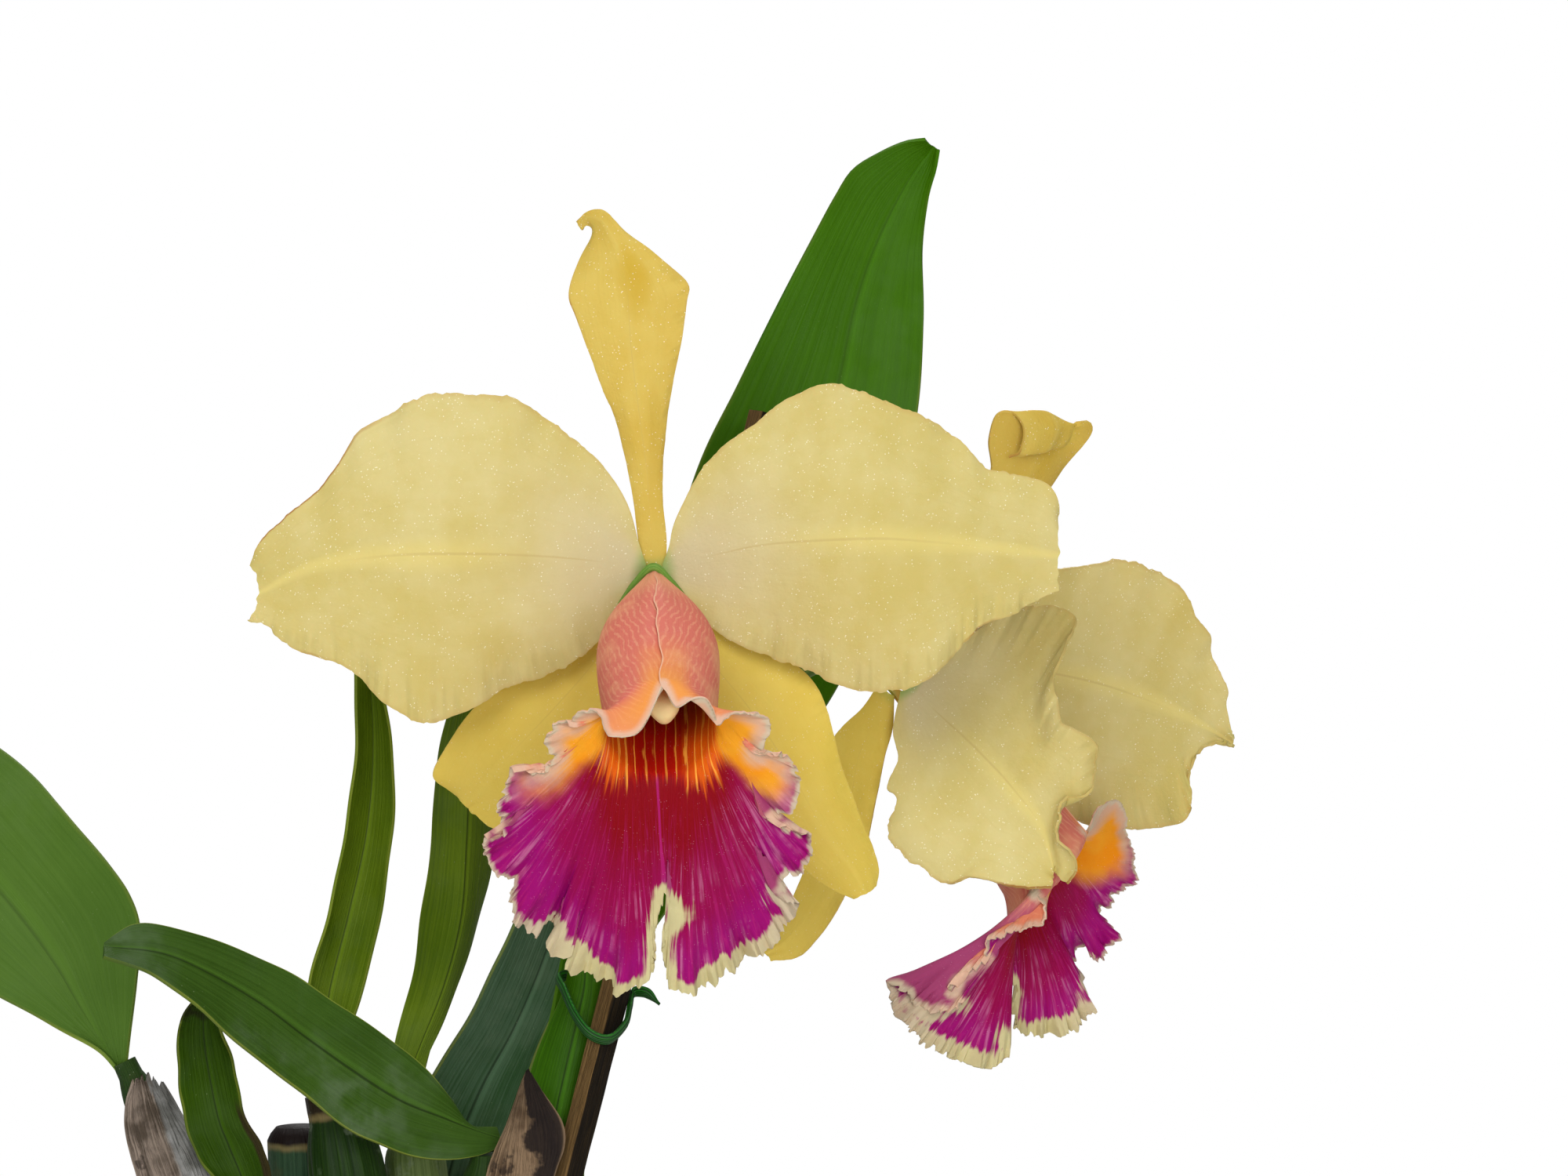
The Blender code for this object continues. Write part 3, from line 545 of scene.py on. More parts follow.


# %% [markdown]
# ## The lip's colours
#
# Inside, the throat is dark red to orange with bright orange lines that run out of the tube, and
# deep in the tube painted shade darkens it further. The lines end at a deep red centre, then comes
# magenta, which bleeds along fine veins into a cream margin, and one clear vein runs down the middle.
# The frills beside the mouth stay orange. Outside, the tube is salmon pink with a net of pale veins
# that slant away from the seam. Everything is placed by the numbers that ride on the mesh: `along`,
# from base to margin, `across`, around from seam to seam, and `to_edge`, the mm left to the margin.

# %% The lip's finish
def lip_finish(name, cream_width=1.0, frill_from=0.63):
    finish = Finish(name, Subsurface_Weight=0.05, Subsurface_Scale=0.001, Specular_IOR_Level=0.1)
    along, across, side, to_edge = (finish.carried(layer) for layer in ("along", "across", "side", "to_edge"))
    middle = across.size()
    streaks = finish.streaks(across * 42, along * 2.2)
    fine_streaks = finish.streaks(across * 120, along * 5, 3.7)
    patches = finish.noise(110, 4.0)
    reach = along + (streaks - 0.5) * 0.1 + (fine_streaks - 0.5) * 0.1 + (patches - 0.5) * 0.07

    lines = (across * 105 + patches * 4 + (streaks - 0.5) * 6).sine().rise(0.72, 1)
    throat = finish.mix((176, 20, 8), (222, 96, 10), (middle + (streaks - 0.5) * 0.2).rise(0.1, 0.3))
    throat = finish.mix(throat, (255, 176, 66), lines * (0.45 + middle.rise(0.0, 0.16) * 0.4))
    # Painted shade deep inside the tube, darkening the throat towards the base
    throat = finish.mix(throat, (96, 28, 4), along.rise(0.38, 0.2) * 0.7)
    centre = (reach + (streaks - 0.5) * 0.12 + middle.rise(0.3, 0.06) * 0.08).rise(0.49, 0.57)
    red = finish.mix(throat, (134, 0, 16), centre)
    magenta = finish.mix(red, (146, 0, 70), (reach + middle * 0.26).rise(0.66, 0.86))
    magenta = finish.mix(magenta, (152, 4, 106), (reach + middle * 0.22).rise(0.84, 0.97))
    pale_veins = fine_streaks.rise(0.5, 0.68) * patches.rise(0.42, 0.58) * to_edge.rise(12, 4)
    magenta = finish.mix(magenta, (208, 124, 164), pale_veins * 0.6)
    rays = (finish.streaks(across * 70, along * 2.5, 1.3, detail=2) - 0.5).size().rise(0.035, 0.0)
    magenta = finish.mix(magenta, (178, 30, 110), rays * along.rise(0.5, 0.75) * 0.45)
    beside = (middle + (patches - 0.5) * 0.1 + (1 - along) * 0.45).rise(frill_from, frill_from + 0.1)
    frill = finish.mix((234, 138, 8), (232, 156, 34), patches.rise(0.3, 0.7))
    frill = finish.mix(frill, (208, 164, 134), (to_edge + (streaks - 0.5) * 3).rise(4.2, 1.2))
    skirt = finish.mix(magenta, frill, beside * (reach + middle * 0.2).rise(0.48, 0.62))
    cream = finish.mix((190, 178, 132), (213, 203, 150), finish.noise(300))
    cream = finish.mix(cream, (196, 174, 158), middle.rise(0.2, 0.4) * 0.7)
    browned = to_edge.rise(0.5, 0.0) * finish.noise(120).rise(0.5, 0.65)
    cream = finish.mix(cream, (146, 118, 84), browned * 0.6)
    hem = (middle.rise(0.14, 0.24) * middle.rise(0.5, 0.3) * 2.2 + middle.rise(0.3, 0.2) + 0.9) * cream_width
    in_hem = (hem - to_edge + (fine_streaks - 0.5) * (hem * 1.6) + patches - 0.5).rise(-0.3, 0.6)
    skirt = finish.mix(skirt, cream, in_hem)
    vein = (across + (patches - 0.5) * 0.012).size().rise(0.011, 0.004) * along.rise(0.42, 0.5)
    skirt = finish.mix(skirt, (176, 28, 112), vein * along.rise(0.94, 0.86) * 0.75)

    slant = middle * 170 - along * 150 + patches * 16 + finish.noise(260) * 7
    net = slant.sine().rise(0.1, 0.95) * finish.noise(500, 2.0).rise(0.3, 0.6)
    rose = (finish.noise(90, 3.0) + middle.rise(0.5, 0.9) * 0.1).rise(0.36, 0.56) * along.rise(0.04, 0.16)
    tube = finish.mix((222, 148, 114), (206, 96, 90), rose * 0.75)
    tube = finish.mix(tube, (228, 164, 130), net * 0.5)
    to_mouth = (along + patches * 0.1).rise(0.3, 0.48)
    tube = finish.mix(tube, (232, 152, 60), to_mouth * middle.rise(0.78, 0.92) * 0.8)
    tube = finish.mix(tube, (228, 176, 146), (middle + fine_streaks * 0.003).rise(0.991, 0.999))
    outside = finish.mix(tube, (222, 138, 96), reach.rise(0.7, 0.95) * 0.6)
    outside = finish.mix(outside, (156, 60, 104), reach.rise(0.5, 0.75) * middle.rise(0.66, 0.56))
    outside = finish.mix(outside, finish.mix(cream, (218, 176, 150), middle.rise(0.45, 0.6)),
                         to_edge.rise(1.8, 0.5))
    colour = finish.mix(skirt, outside, side.rise(0.4, 0.6))

    # Painted glints: scattered pale pink specks in the colour stand for light caught by the surface; they
    # also lower the roughness
    painted_glint = finish.cells(1900).rise(0.18, 0.06) * finish.noise(600, 1.0).rise(0.45, 0.6)
    colour = finish.mix(colour, (250, 190, 214), painted_glint * 0.3)
    relief = streaks * 0.4 + fine_streaks * 0.3 + finish.noise(1200, 2.0) * 0.3
    return finish.done(colour, 0.55 - painted_glint * 0.2, relief, 0.0006, 0.45)


skirt_finish = lip_finish("lip velvet")
dark_skirt_finish = lip_finish("lip velvet, darker", 0.9, 0.74)

# %% [markdown]
# ## The first flower's lip
#
# Its margin is drawn one side at a time, from the seam on top of the mouth, around the
# frill, down the skirt's side, and in to the notch that parts the front lobe.

# %% Lip of the first flower
LIP_1 = {
    "start": (0, -4, -0.6), "mouth": (2, -43, -27.5), "up": (0, -0.55, 0.83), "radii": (0.9, 10.7),
    "thrust": 0.6, "seed": 1.0,
    "margins": (
        ([(2.5, -20.3), (-0.1, -26.2), (-2.3, -29), (-5.9, -29.2), (-7.5, -28.6), (-8.7, -25.8),
          (-9.8, -24.9), (-11, -25), (-13, -25.8), (-13.8, -28), (-16.6, -27.4), (-18.8, -29.8),
          (-17.4, -34.1), (-22.5, -36.5), (-25.5, -38.1), (-27.2, -42.5), (-26.8, -46.1), (-29.6, -47.2),
          (-30, -51), (-28.5, -54.5), (-25.1, -56.4), (-25.6, -59.8), (-24, -64), (-21.2, -66.1),
          (-17.7, -63.4), (-19.5, -66.5), (-17.7, -70), (-14.8, -68.7), (-15.8, -71.8), (-13, -73.6),
          (-9.2, -75), (-7.1, -76.7), (-4.2, -76.1), (-0.7, -74.3), (0.4, -70), (0.4, -65.8), (2.3, -58.5)],
         (-49, -51, -44, -38, -30, -22, -19, -22, -30)),
        ([(3, -21.2), (4.9, -24.2), (7.8, -22.8), (9.9, -22.6), (11.2, -24.2), (12.4, -27.4), (13.8, -26.7),
          (16.9, -25.1), (20.9, -26), (21.6, -28.4), (19.8, -31.9), (20.5, -33.4), (25.1, -34.1),
          (26.8, -38.3), (25.7, -42.1), (21.5, -44.2), (21.9, -45.4), (25.4, -46.8), (28.9, -48.9),
          (28.7, -51), (26.5, -55), (24, -55.2), (23.3, -58.8), (26.8, -60.4), (24, -64.4), (22.6, -67.2),
          (20, -69.4), (16.2, -72.2), (13.4, -73.6), (9.9, -75.7), (4.9, -76.3), (2.8, -75), (2.1, -70.1),
          (2.6, -65.1), (4.6, -62.2), (2.9, -58.5)], (-49, -51, -44, -38, -30, -22, -19, -22, -30)),
    ),
}


def make_lip(flower, place, plan, finish=skirt_finish):
    points = lip_surface(plan)
    shape = sheet_shape(points, 0.4, 0.15, 1, place, edge_distance(points))
    new_piece(f"{flower}_lip_bloom", shape, finish, f"{flower}_lip")
    print(flower, "lip, mm:", np.ptp(points.reshape(-1, 3), axis=0).round(1))


make_lip("flower_1", FLOWER_1, LIP_1)

# %% [markdown]
# ## Round pieces along a path
#
# The column, stalks, pseudobulbs and rhizome are round. Each is a grid again, rolled into a tube
# around a smooth path: the grid's columns go around and its rows go along. The seam is welded with
# `remove_doubles` and the two open ends are filled, so that the piece is closed. The radius is a
# formula of the place along and around, which gives furrows, nodes and swellings.

# %% Tubes
def tube_shape(path, radius, rows, sides, place=(0, 0, 0), back=(0.0, 1.0, 0.0)):
    """A bmesh of a closed tube. radius(t, angle) is in mm, for t from 0 to 1 and every angle.

    The angle is counted from `back`, a direction that the path never follows; the seam is there."""
    centres = smooth_curve(path, rows + 1)
    forward = unit(np.gradient(centres, axis=0))
    aside = unit(np.cross(back, forward))
    behind = np.cross(forward, aside)
    t, angle = np.linspace(0, 1, rows + 1)[:, None], np.linspace(0, 2 * math.pi, sides + 1)[None, :]
    reach = np.broadcast_to(radius(t, angle), (rows + 1, sides + 1))[..., None]
    turn = angle[..., None]
    points = centres[:, None] + reach * (np.cos(turn) * behind[:, None] + np.sin(turn) * aside[:, None])
    points[:, -1] = points[:, 0]
    shape, _ = grid_shape(points, place, ("along", "around"))
    bmesh.ops.remove_doubles(shape, verts=shape.verts, dist=1e-7)
    bmesh.ops.holes_fill(shape, edges=shape.edges, sides=sides)
    bmesh.ops.recalc_face_normals(shape, faces=shape.faces)
    return shape


def rounded_end(t, least=0.0, share=0.06):
    """Draws a tube's radius in over the last `share` of its length, like a thumb."""
    return np.sqrt(np.clip(1 - np.clip((t - 1 + share) / share, 0, 1) ** 2, least, 1))


# %% [markdown]
# ## The column and the flower stalks
#
# The column is the flower's single fused centre, a waxy club that ends in a pale cap just inside the
# lip's mouth. Behind each flower the stalk swells into a ribbed green ovary. Both flowers hang on
# one stem, which rises from the youngest growth.

# %% Column and stalks
def wax_finish(name, low, high, heart):
    finish = Finish(name, Subsurface_Weight=0.15, Subsurface_Scale=0.002, Specular_IOR_Level=0.3)
    along = finish.carried("along")
    colour = finish.mix(heart, low, along.rise(0.02, 0.2))
    colour = finish.mix(colour, high, (along + finish.noise(300) * 0.1).rise(0.6, 0.85))
    return finish.done(colour, 0.4 + finish.noise(500) * 0.2, finish.noise(700), 0.0003, 0.4)


def stalk_finish(name, deep, light):
    finish = Finish(name, Subsurface_Weight=0.05, Subsurface_Scale=0.001, Specular_IOR_Level=0.25)
    along, around = finish.carried("along"), finish.carried("around")
    lines = finish.streaks(around * 30, along * 3)
    colour = finish.mix(deep, light, lines.rise(0.35, 0.7))
    colour = finish.mix(colour, (150, 160, 60), along.rise(0.85, 1.0) * 0.5)
    specks = finish.cells(900).rise(0.16, 0.05)
    colour = finish.mix(colour, (170, 176, 120), specks * 0.4)
    return finish.done(colour, 0.42 + lines * 0.2, lines + finish.noise(900) * 0.3, 0.0006, 0.5)


column_finish = wax_finish("column wax", (232, 160, 104), (240, 212, 150), (120, 136, 52))
stalk_green = stalk_finish("stalk green", (70, 98, 30), (112, 138, 52))

COLUMN_1 = [(0, 4.7, -1.8), (0, -4, -3), (1, -20, -12), (2.2, -36, -21.5), (2.6, -41.5, -26.5)]
COLUMN_2 = [(-4.2, 0, 2), (1, 0, -1), (12, -1, -15), (24, -4, -28), (30, -6, -35)]
STEM_PATH = [(19, -2, 230), (22, -2, 258), (26, -7, 280), (34, -22, 318), (37.5, -34, 337), (38, -44.1, 340)]
PEDICEL_PATH = [(27, -5.4, 281), (40, 4, 301), (62, 5, 319), (73, 2, 325), (79.8, 0, 323.8)]


def column_radius(t, angle):
    """Slim at its waist, then a three-lobed cap."""
    cap = rise(t, 0.82, 0.95)
    lobes = 1 + 0.1 * cap * np.cos(3 * angle)
    return (2.8 - 0.9 * rise(t, 0.05, 0.4) + 1.0 * cap) * lobes * rounded_end(t, 0.05)


def stalk_radius(slim, ovary):
    """A stalk with faint ridges that swells into a ribbed ovary at its far end."""
    def radius(t, angle):
        swelling = rise(t, 0.62, 0.9)
        ribs = 1 + 0.02 * np.cos(8 * angle) + 0.05 * swelling * np.cos(6 * angle)
        return (slim + (ovary - slim) * swelling) * ribs * (1 + 0.03 * wander(9 * t, 2))
    return radius


def make_column(flower, place, path):
    shape = tube_shape(path, column_radius, 70, 30, place)
    new_piece(f"{flower}_column_fresh", shape, column_finish, f"{flower}_column")


for node, path, slim, rows in (("flower_stem", STEM_PATH, 2.0, 160), ("pedicel_2", PEDICEL_PATH, 1.7, 110)):
    new_piece(f"{node}_fresh", tube_shape(path, stalk_radius(slim, 3.0), rows, 32), stalk_green, node)
make_column("flower_1", FLOWER_1, COLUMN_1)

# %% The green heart over the lip's root
HEART_ARCH = [(-6.4, -1.6, -6), (-3.6, -3.4, -2.2), (-0.2, -5, 0.9), (3, -4, -1.8), (5.8, -1.8, -5)]


def heart_radius(t, angle):
    return (0.45 + 0.3 * np.sin(np.pi * t)) * (1 + 0.05 * wander(9 * t, 1))


heart = new_piece("flower_1_heart", tube_shape(HEART_ARCH, heart_radius, 60, 16, FLOWER_1),
                  stalk_finish("heart green", (92, 136, 44), (128, 164, 70)))

# %% [markdown]
# ## The second flower
#
# It stands behind the first one and faces right, so its petals are seen on edge and from behind: the
# near petal is folded forward with its back to us, the far one is spread like a fan. Its top sepal
# has rolled itself into a scroll at the tip, which is drawn by letting the rails run around a curl.

# %% The second flower
FLOWER_2 = (85.5, 0, 321)        # mm, where the second flower's petals meet
TEPALS_2 = {
    "dorsal_sepal": (
        ([(1, 4.4), (6, 15), (12, 25), (15.4, 33), (16.6, 39), (15.8, 44.5), (17.4, 49.6), (20.6, 50.2),
          (23, 46.8), (22.2, 42), (20, 40.8)], (-1, -4, -5, -6, -7)),
        ([(2.6, 3.6), (8, 14), (15, 24), (21, 33), (25, 40.5), (26.5, 46), (26.6, 49.6), (28, 50), (29.5, 47),
          (28, 43), (26.4, 42.2)], (0, 0, 0, -1, -2)),
        ([(4.4, 3), (10, 13), (17.5, 23), (25.6, 32.2), (31, 39.6), (35, 44.5), (36.2, 46.8), (35.6, 48),
          (34.4, 47), (33, 44.4), (31.6, 43.4)], (1, 4, 5, 5, 4)),
    ),
    "petal_near": (
        ([(-1, -4), (-2.5, -11.5), (-1.4, -17), (-3.6, -22.5), (-1.8, -24.6), (-3.6, -31), (0, -36),
          (3, -37.6), (7, -40.6), (12, -39.4), (18, -40.6), (22.5, -41.4), (27.6, -41)],
         (-4.4, -9, -13, -15, -17)),
        ([(1, -3), (6, -8), (13, -14.5), (20, -22), (26, -30), (28.5, -38.5)], (-4.6, -10, -14, -15, -14)),
        ([(3, -1), (11, 6), (20.5, 11.6), (29, 12.4), (32.6, 9.6), (29.8, 4.5), (28.4, -1.8), (28.6, -6),
          (30, -10), (36, -13.4), (36, -17.4), (34.6, -22.4), (29.6, -24.6), (28.2, -31), (31, -37.6),
          (30, -40.4)], (-4.4, -10, -17, -21, -20, -18)),
    ),
    "petal_far": (
        ([(3, 2), (11, 13), (23, 19), (36, 20), (43, 21.4), (48, 20.4), (55.5, 16.2), (59, 10), (62, 6.4),
          (62.6, 2), (65.6, -4.4), (65.4, -8), (66.6, -13.6)], (4.4, 14, 24, 34, 40)),
        ([(3, 0), (12, 0.5), (24, 0), (39, -3), (53, -8), (67, -15)], (4.6, 15, 26, 34, 40)),
        ([(3, -2), (11, -12), (23, -22), (34, -30), (46.5, -31.8), (56, -30.6), (57.6, -27), (57, -22),
          (60, -16.4), (63, -14.6), (66.6, -15.6)], (4.4, 13, 22, 31, 38)),
    ),
    "lateral_sepal_near": (
        ([(-5, -2.5), (-8, -7), (-14, -13.6), (-15, -24), (-18, -35), (-22, -45), (-25.6, -51.2),
          (-28.6, -54)], (-2, -1, 0, 0, -1)),
        ([(-3.6, -4), (-6, -10), (-9, -17), (-10.6, -27), (-12.6, -36), (-16.6, -44), (-22, -52), (-27, -55)],
         (-2.5, -2, -2, -2, -3)),
        ([(-2.4, -5), (-2.4, -11), (-4, -17), (-6, -27), (-8, -35), (-12, -44.5), (-17, -52), (-21, -55.6),
          (-26, -56)], (-2, -3, -4, -4, -3)),
    ),
    "lateral_sepal_far": (
        ([(-2.4, -5), (4, -14), (8, -26), (13, -35), (16, -39)], (3, 16, 24)),
        ([(-3.2, -4), (7, -12), (12, -23), (16, -32), (18, -39)], (3.6, 18, 26)),
        ([(-4, -3), (10, -9), (17, -20), (21, -31), (20, -38)], (4.2, 20, 26)),
    ),
}
LIP_2 = {
    "start": (3.5, 0, -5.5), "mouth": (27, -1, -37), "up": (0.81, 0, 0.59), "radii": (2.4, 10.4),
    "thrust": 0.5, "seed": 2.4,
    "margins": (
        ([(34, -31.4), (31, -32.5), (29, -36), (24.6, -40.6), (26.6, -45.6), (23.6, -49.4), (20.4, -50),
          (15.6, -54), (12.4, -56.6), (8, -60), (11, -63.4), (5, -65), (-2.6, -60.4), (-1.6, -66),
          (3.4, -71), (9.4, -74), (14.6, -76.4), (19.4, -74), (18.6, -66), (16.6, -58)],
         (-4, -12, -15, -17, -18, -16, -8, -2)),
        ([(35, -32), (38, -27), (42, -25.6), (44, -31), (45.4, -39), (42.6, -44.6), (39.4, -48.4),
          (41, -52.6), (38.4, -57.6), (35, -56), (31, -59.4), (36, -62), (36.6, -67), (30.4, -71.4),
          (23, -71), (21, -66.4), (22, -62), (17.6, -58)], (2, 10, 14, 15, 14, 10, 6, 0)),
    ),
}
BACK_NORMALS_2 = {"dorsal_sepal", "petal_near"}

make_tepals("flower_2", FLOWER_2, TEPALS_2, BACK_NORMALS_2, seed=7)
make_lip("flower_2", FLOWER_2, LIP_2, dark_skirt_finish)
make_column("flower_2", FLOWER_2, COLUMN_2)

# %% [markdown]
# ## Leaves
#
# A cattleya's leaf is a stiff thick strap folded along its midrib. The surface is waxy, with faint
# parallel lines, painted shade in the groove where it folds and a painted highlight beside it, a thin
# yellowish margin, and a scatter of pale dust specks. Older leaves carry a bluish bloom. The leaves
# differ mainly in their greens, so one function makes every leaf finish.

# %% Leaf finishes
def leaf_finish(name, deep, light, bloom=0.15, gloss=0.42, spoiled=0.0):
    """`spoiled` is how much of the leaf's far end is spotted brown."""
    finish = Finish(name, Specular_IOR_Level=0.1)
    along, across, side = (finish.carried(layer) for layer in ("along", "across", "side"))
    lines = finish.streaks(across * 22, along * 2.0, detail=4)
    colour = finish.mix(deep, light, (lines * 0.6 + finish.noise(45) * 0.6).rise(0.42, 0.78))
    haze = finish.noise(28, 4.0).rise(0.42, 0.72) * finish.noise(160, 3.0).rise(0.35, 0.7)
    colour = finish.mix(colour, (120, 136, 112), haze * bloom * 2)
    # Painted shade in the groove along the midrib
    groove_shade = across.size().rise(0.045, 0.0)
    colour = finish.mix(colour, toned(deep, 0.5), groove_shade * 0.75)
    # A painted highlight on one side of the rib, where the fold faces the light
    beside = (across - 0.1).size().rise(0.09, 0.0)
    colour = finish.mix(colour, toned(light, 1.25), beside * 0.4)
    rim = (across.size() + finish.noise(90) * 0.03).rise(0.985, 1.01)
    colour = finish.mix(colour, (140, 150, 58), rim * finish.noise(24).rise(0.35, 0.6) * 0.6)
    dust = finish.cells(640).rise(0.09, 0.03) * finish.noise(60).rise(0.48, 0.66)
    fine_dust = finish.cells(1500).rise(0.16, 0.05) * finish.noise(40).rise(0.4, 0.7)
    colour = finish.mix(colour, (176, 190, 150), dust * 0.4 + fine_dust * 0.14)
    colour = finish.mix(colour, toned(light, 0.9), side * 0.6)
    if spoiled:
        spots = finish.noise(150, 4.0).rise(0.5, 0.62) * along.rise(1 - spoiled, 1.0)
        colour = finish.mix(colour, (34, 34, 14), spots * 0.9)
        scar = (across + finish.noise(100) * 0.2).rise(0.84, 0.96) * along.rise(0.15, 0.25)
        colour = finish.mix(colour, (52, 40, 24), scar * along.rise(0.6, 0.5) * 0.9)
    relief = lines * 0.5 + finish.noise(420, 3.0) * 0.3 + finish.noise(110) * 0.6
    return finish.done(colour, gloss + haze * 0.3 + dust * 0.3 + lines * 0.08, relief, 0.0008, 0.45)


bright_leaf = leaf_finish("leaf, fresh green", (48, 92, 0), (64, 114, 0), 0.0)
old_leaf = leaf_finish("leaf, bloomed", (43, 70, 12), (58, 88, 26), 0.22, 0.48)
left_leaf = leaf_finish("leaf, pale green", (62, 98, 22), (84, 118, 40), 0.1, 0.48)
olive_leaf = leaf_finish("leaf, olive", (68, 92, 6), (94, 116, 20), 0.04)
blue_leaf = leaf_finish("leaf, blue green", (46, 80, 42), (84, 112, 86), 0.55, 0.5)
spotted_leaf = leaf_finish("leaf, spotted", (36, 62, 2), (54, 82, 10), 0.03, spoiled=0.34)

# %% Leaves
LEAVES = {
    "leaf_tall": (bright_leaf, 1, (
        ([(14, 233), (14.6, 246), (17.4, 259), (24, 290), (37, 334), (44.6, 360), (52.6, 377), (61.5, 394.5),
          (68.4, 408), (72, 414.6), (75.6, 420), (81, 423.4), (86, 425.6), (90, 426.2)], (4, 9, 13, 19, 26)),
        ([(18, 232), (22, 259), (31, 280), (42, 301), (55, 328), (65, 352), (72, 375), (75.6, 392), (80, 405),
          (86, 417), (91.6, 425)], (7, 13, 18, 24, 30)),
        ([(22, 233), (26, 246), (30, 259), (42, 278), (58, 297), (74, 320), (84, 350), (88.4, 372),
          (89.6, 390), (89.4, 404), (90.8, 414), (92.6, 420), (93.4, 424)], (4, 9, 14, 21, 28)),
    )),
    "leaf_left": (left_leaf, 1, (
        ([(-68.4, 242), (-73, 246.4), (-82, 252), (-91.5, 257), (-102, 262.5), (-112, 270), (-121, 281),
          (-128, 297), (-131.6, 314)], (7, 9, 12, 20, 34)),
        ([(-67.6, 242), (-75.5, 254), (-81, 263), (-89, 273.5), (-98.5, 284), (-108.5, 295), (-118.5, 305),
          (-131.8, 318)], (9, 14, 18, 25, 35)),
        ([(-66.6, 242), (-65.8, 250), (-64.4, 260), (-64, 270), (-66, 277), (-70, 283), (-76, 290),
          (-80.5, 295), (-86, 300.5), (-93, 306), (-107, 314.6), (-120.5, 319), (-130, 320)],
         (7, 9, 12, 20, 34)),
    )),
    "leaf_arching": (old_leaf, -1, (
        ([(7.5, 229.5), (3.5, 228), (-2.5, 227.4), (-9, 228.4), (-15, 231), (-21, 234.4), (-30.5, 242.6),
          (-40, 250.6), (-48.5, 258.6), (-55.5, 264.6), (-60.5, 267), (-64.6, 268.6)],
         (-10, -20, -28, -37, -46)),
        ([(7.4, 231), (2, 233), (-3.5, 235.4), (-11.5, 239), (-20.5, 245), (-29, 251.4), (-37.5, 258.4),
          (-47, 264.6), (-55, 268.4), (-65, 270)], (-9, -17, -22, -32, -43)),
        ([(6.6, 233), (1.4, 233.6), (-1.5, 238.6), (-6.5, 244.6), (-15, 251.6), (-24.5, 258), (-35, 265),
          (-46, 270.6), (-55.5, 273.6), (-60, 274), (-63, 272.6), (-65.4, 271)], (-8, -13, -16, -28, -41)),
    )),
    "leaf_narrow_1": (olive_leaf, -1, (
        ([(-30, 239), (-30.6, 248.6), (-29.6, 259.6), (-26, 274.6), (-23, 289.6), (-21.4, 306.6),
          (-21.2, 322), (-23.6, 343)], (-2, 1, 2, 4, 9.5)),
        ([(-28, 239), (-27.4, 248.6), (-26.6, 258.6), (-23, 273.6), (-19.6, 289.6), (-18.4, 306),
          (-19.4, 322), (-22.8, 344)], (1, 6, 8, 9, 10.2)),
        ([(-26, 239), (-23.4, 248.6), (-20.4, 258), (-16.4, 274.6), (-14.4, 290), (-15, 305.6), (-17.4, 321),
          (-22, 343)], (-2, 2, 4, 6, 9.8)),
    )),
    "leaf_narrow_2": (olive_leaf, -1, (
        ([(-15, 239), (-14.4, 247), (-11.4, 260), (-9.4, 272.6), (-7.4, 286), (-6.4, 298.6), (-2, 321.6),
          (4.2, 342.6)], (8, 12, 13, 13, 12)),
        ([(-12.5, 239), (-9.4, 247), (-4.4, 259.6), (-1, 273), (0, 287), (0.6, 299), (2.4, 322.6),
          (5.2, 343.6)], (10, 7, 6.5, 7.5, 11.6)),
        ([(-10, 239), (-8.4, 243.6), (-2.4, 257.6), (2, 272), (4.6, 286), (5.2, 298.6), (6, 322.6),
          (6.2, 342.6)], (8, 13, 15, 14, 12)),
    )),
    "leaf_back": (blue_leaf, -1, (
        ([(-9, 204), (-14, 214), (-15.4, 226.6), (-8.4, 238.6), (-1.4, 249.6), (5, 263), (11, 275),
          (21.4, 295.6)], (24, 24, 24, 22, 20)),
        ([(-7, 204), (-6, 214), (-3, 226), (2, 238), (8, 249), (13.6, 262), (17.6, 274.6), (22.2, 297)],
         (25, 29, 31, 28, 24)),
        ([(-5, 204), (1.6, 213.6), (6.6, 227.6), (11, 239.6), (15.6, 251.6), (19.6, 263), (22, 275),
          (23.2, 295.6)], (24, 25, 26, 24, 22)),
    )),
    "leaf_short": (spotted_leaf, -1, (
        ([(-44, 213), (-46, 220.6), (-51, 228), (-53.4, 234), (-55, 247.6), (-54.6, 253), (-52.6, 256.6)],
         (-7, -8, -8, -5, 0)),
        ([(-42, 213), (-42.4, 221), (-45.4, 229), (-47.6, 235), (-50.4, 248), (-51, 257.4)],
         (-5, -4, -4, -1, 2)),
        ([(-40, 213), (-37, 221.6), (-38.6, 229), (-42, 234), (-45.6, 247.6), (-48, 253.6), (-49.8, 256.8)],
         (-7, -8, -8, -5, 0)),
    )),
}


def make_leaf(node, finish, behind, rails, thickness, crown):
    points = stretch(rails, 130, 48, crease=0.5)
    along, across = grid_axes(points)
    sway = wander(2 * math.pi * 1.5 * along + across, len(node)) * 0.5 * abs(across) ** 2
    grooves = 0.03 * np.cos(across * 44) * rise(1 - abs(across), 0, 0.2)
    points = pushed(points, sway + grooves)
    new_piece(f"{node}_fresh", sheet_shape(points, thickness, crown, behind), finish, node)
    print(node, "mm:", np.ptp(points.reshape(-1, 3), axis=0).round(1))


for node, (finish, behind, rails) in LEAVES.items():
    slim = "narrow" in node or "short" in node
    make_leaf(node, finish, behind, rails, thickness=0.6 if slim else 0.7, crown=0.5 if slim else 1.0)

# %% [markdown]
# ## Pseudobulbs and rhizome
#
# Every leaf stands on a pseudobulb, a swollen stem that stores water. They rise from a creeping
# rhizome just under the bark. Young ones are plump and smooth; old ones shrivel into furrows and
# turn brown where a leaf has dropped. They are tubes with a spindle's profile, and the furrows are a
# ripple in the radius that is strongest where the bulb is thickest.

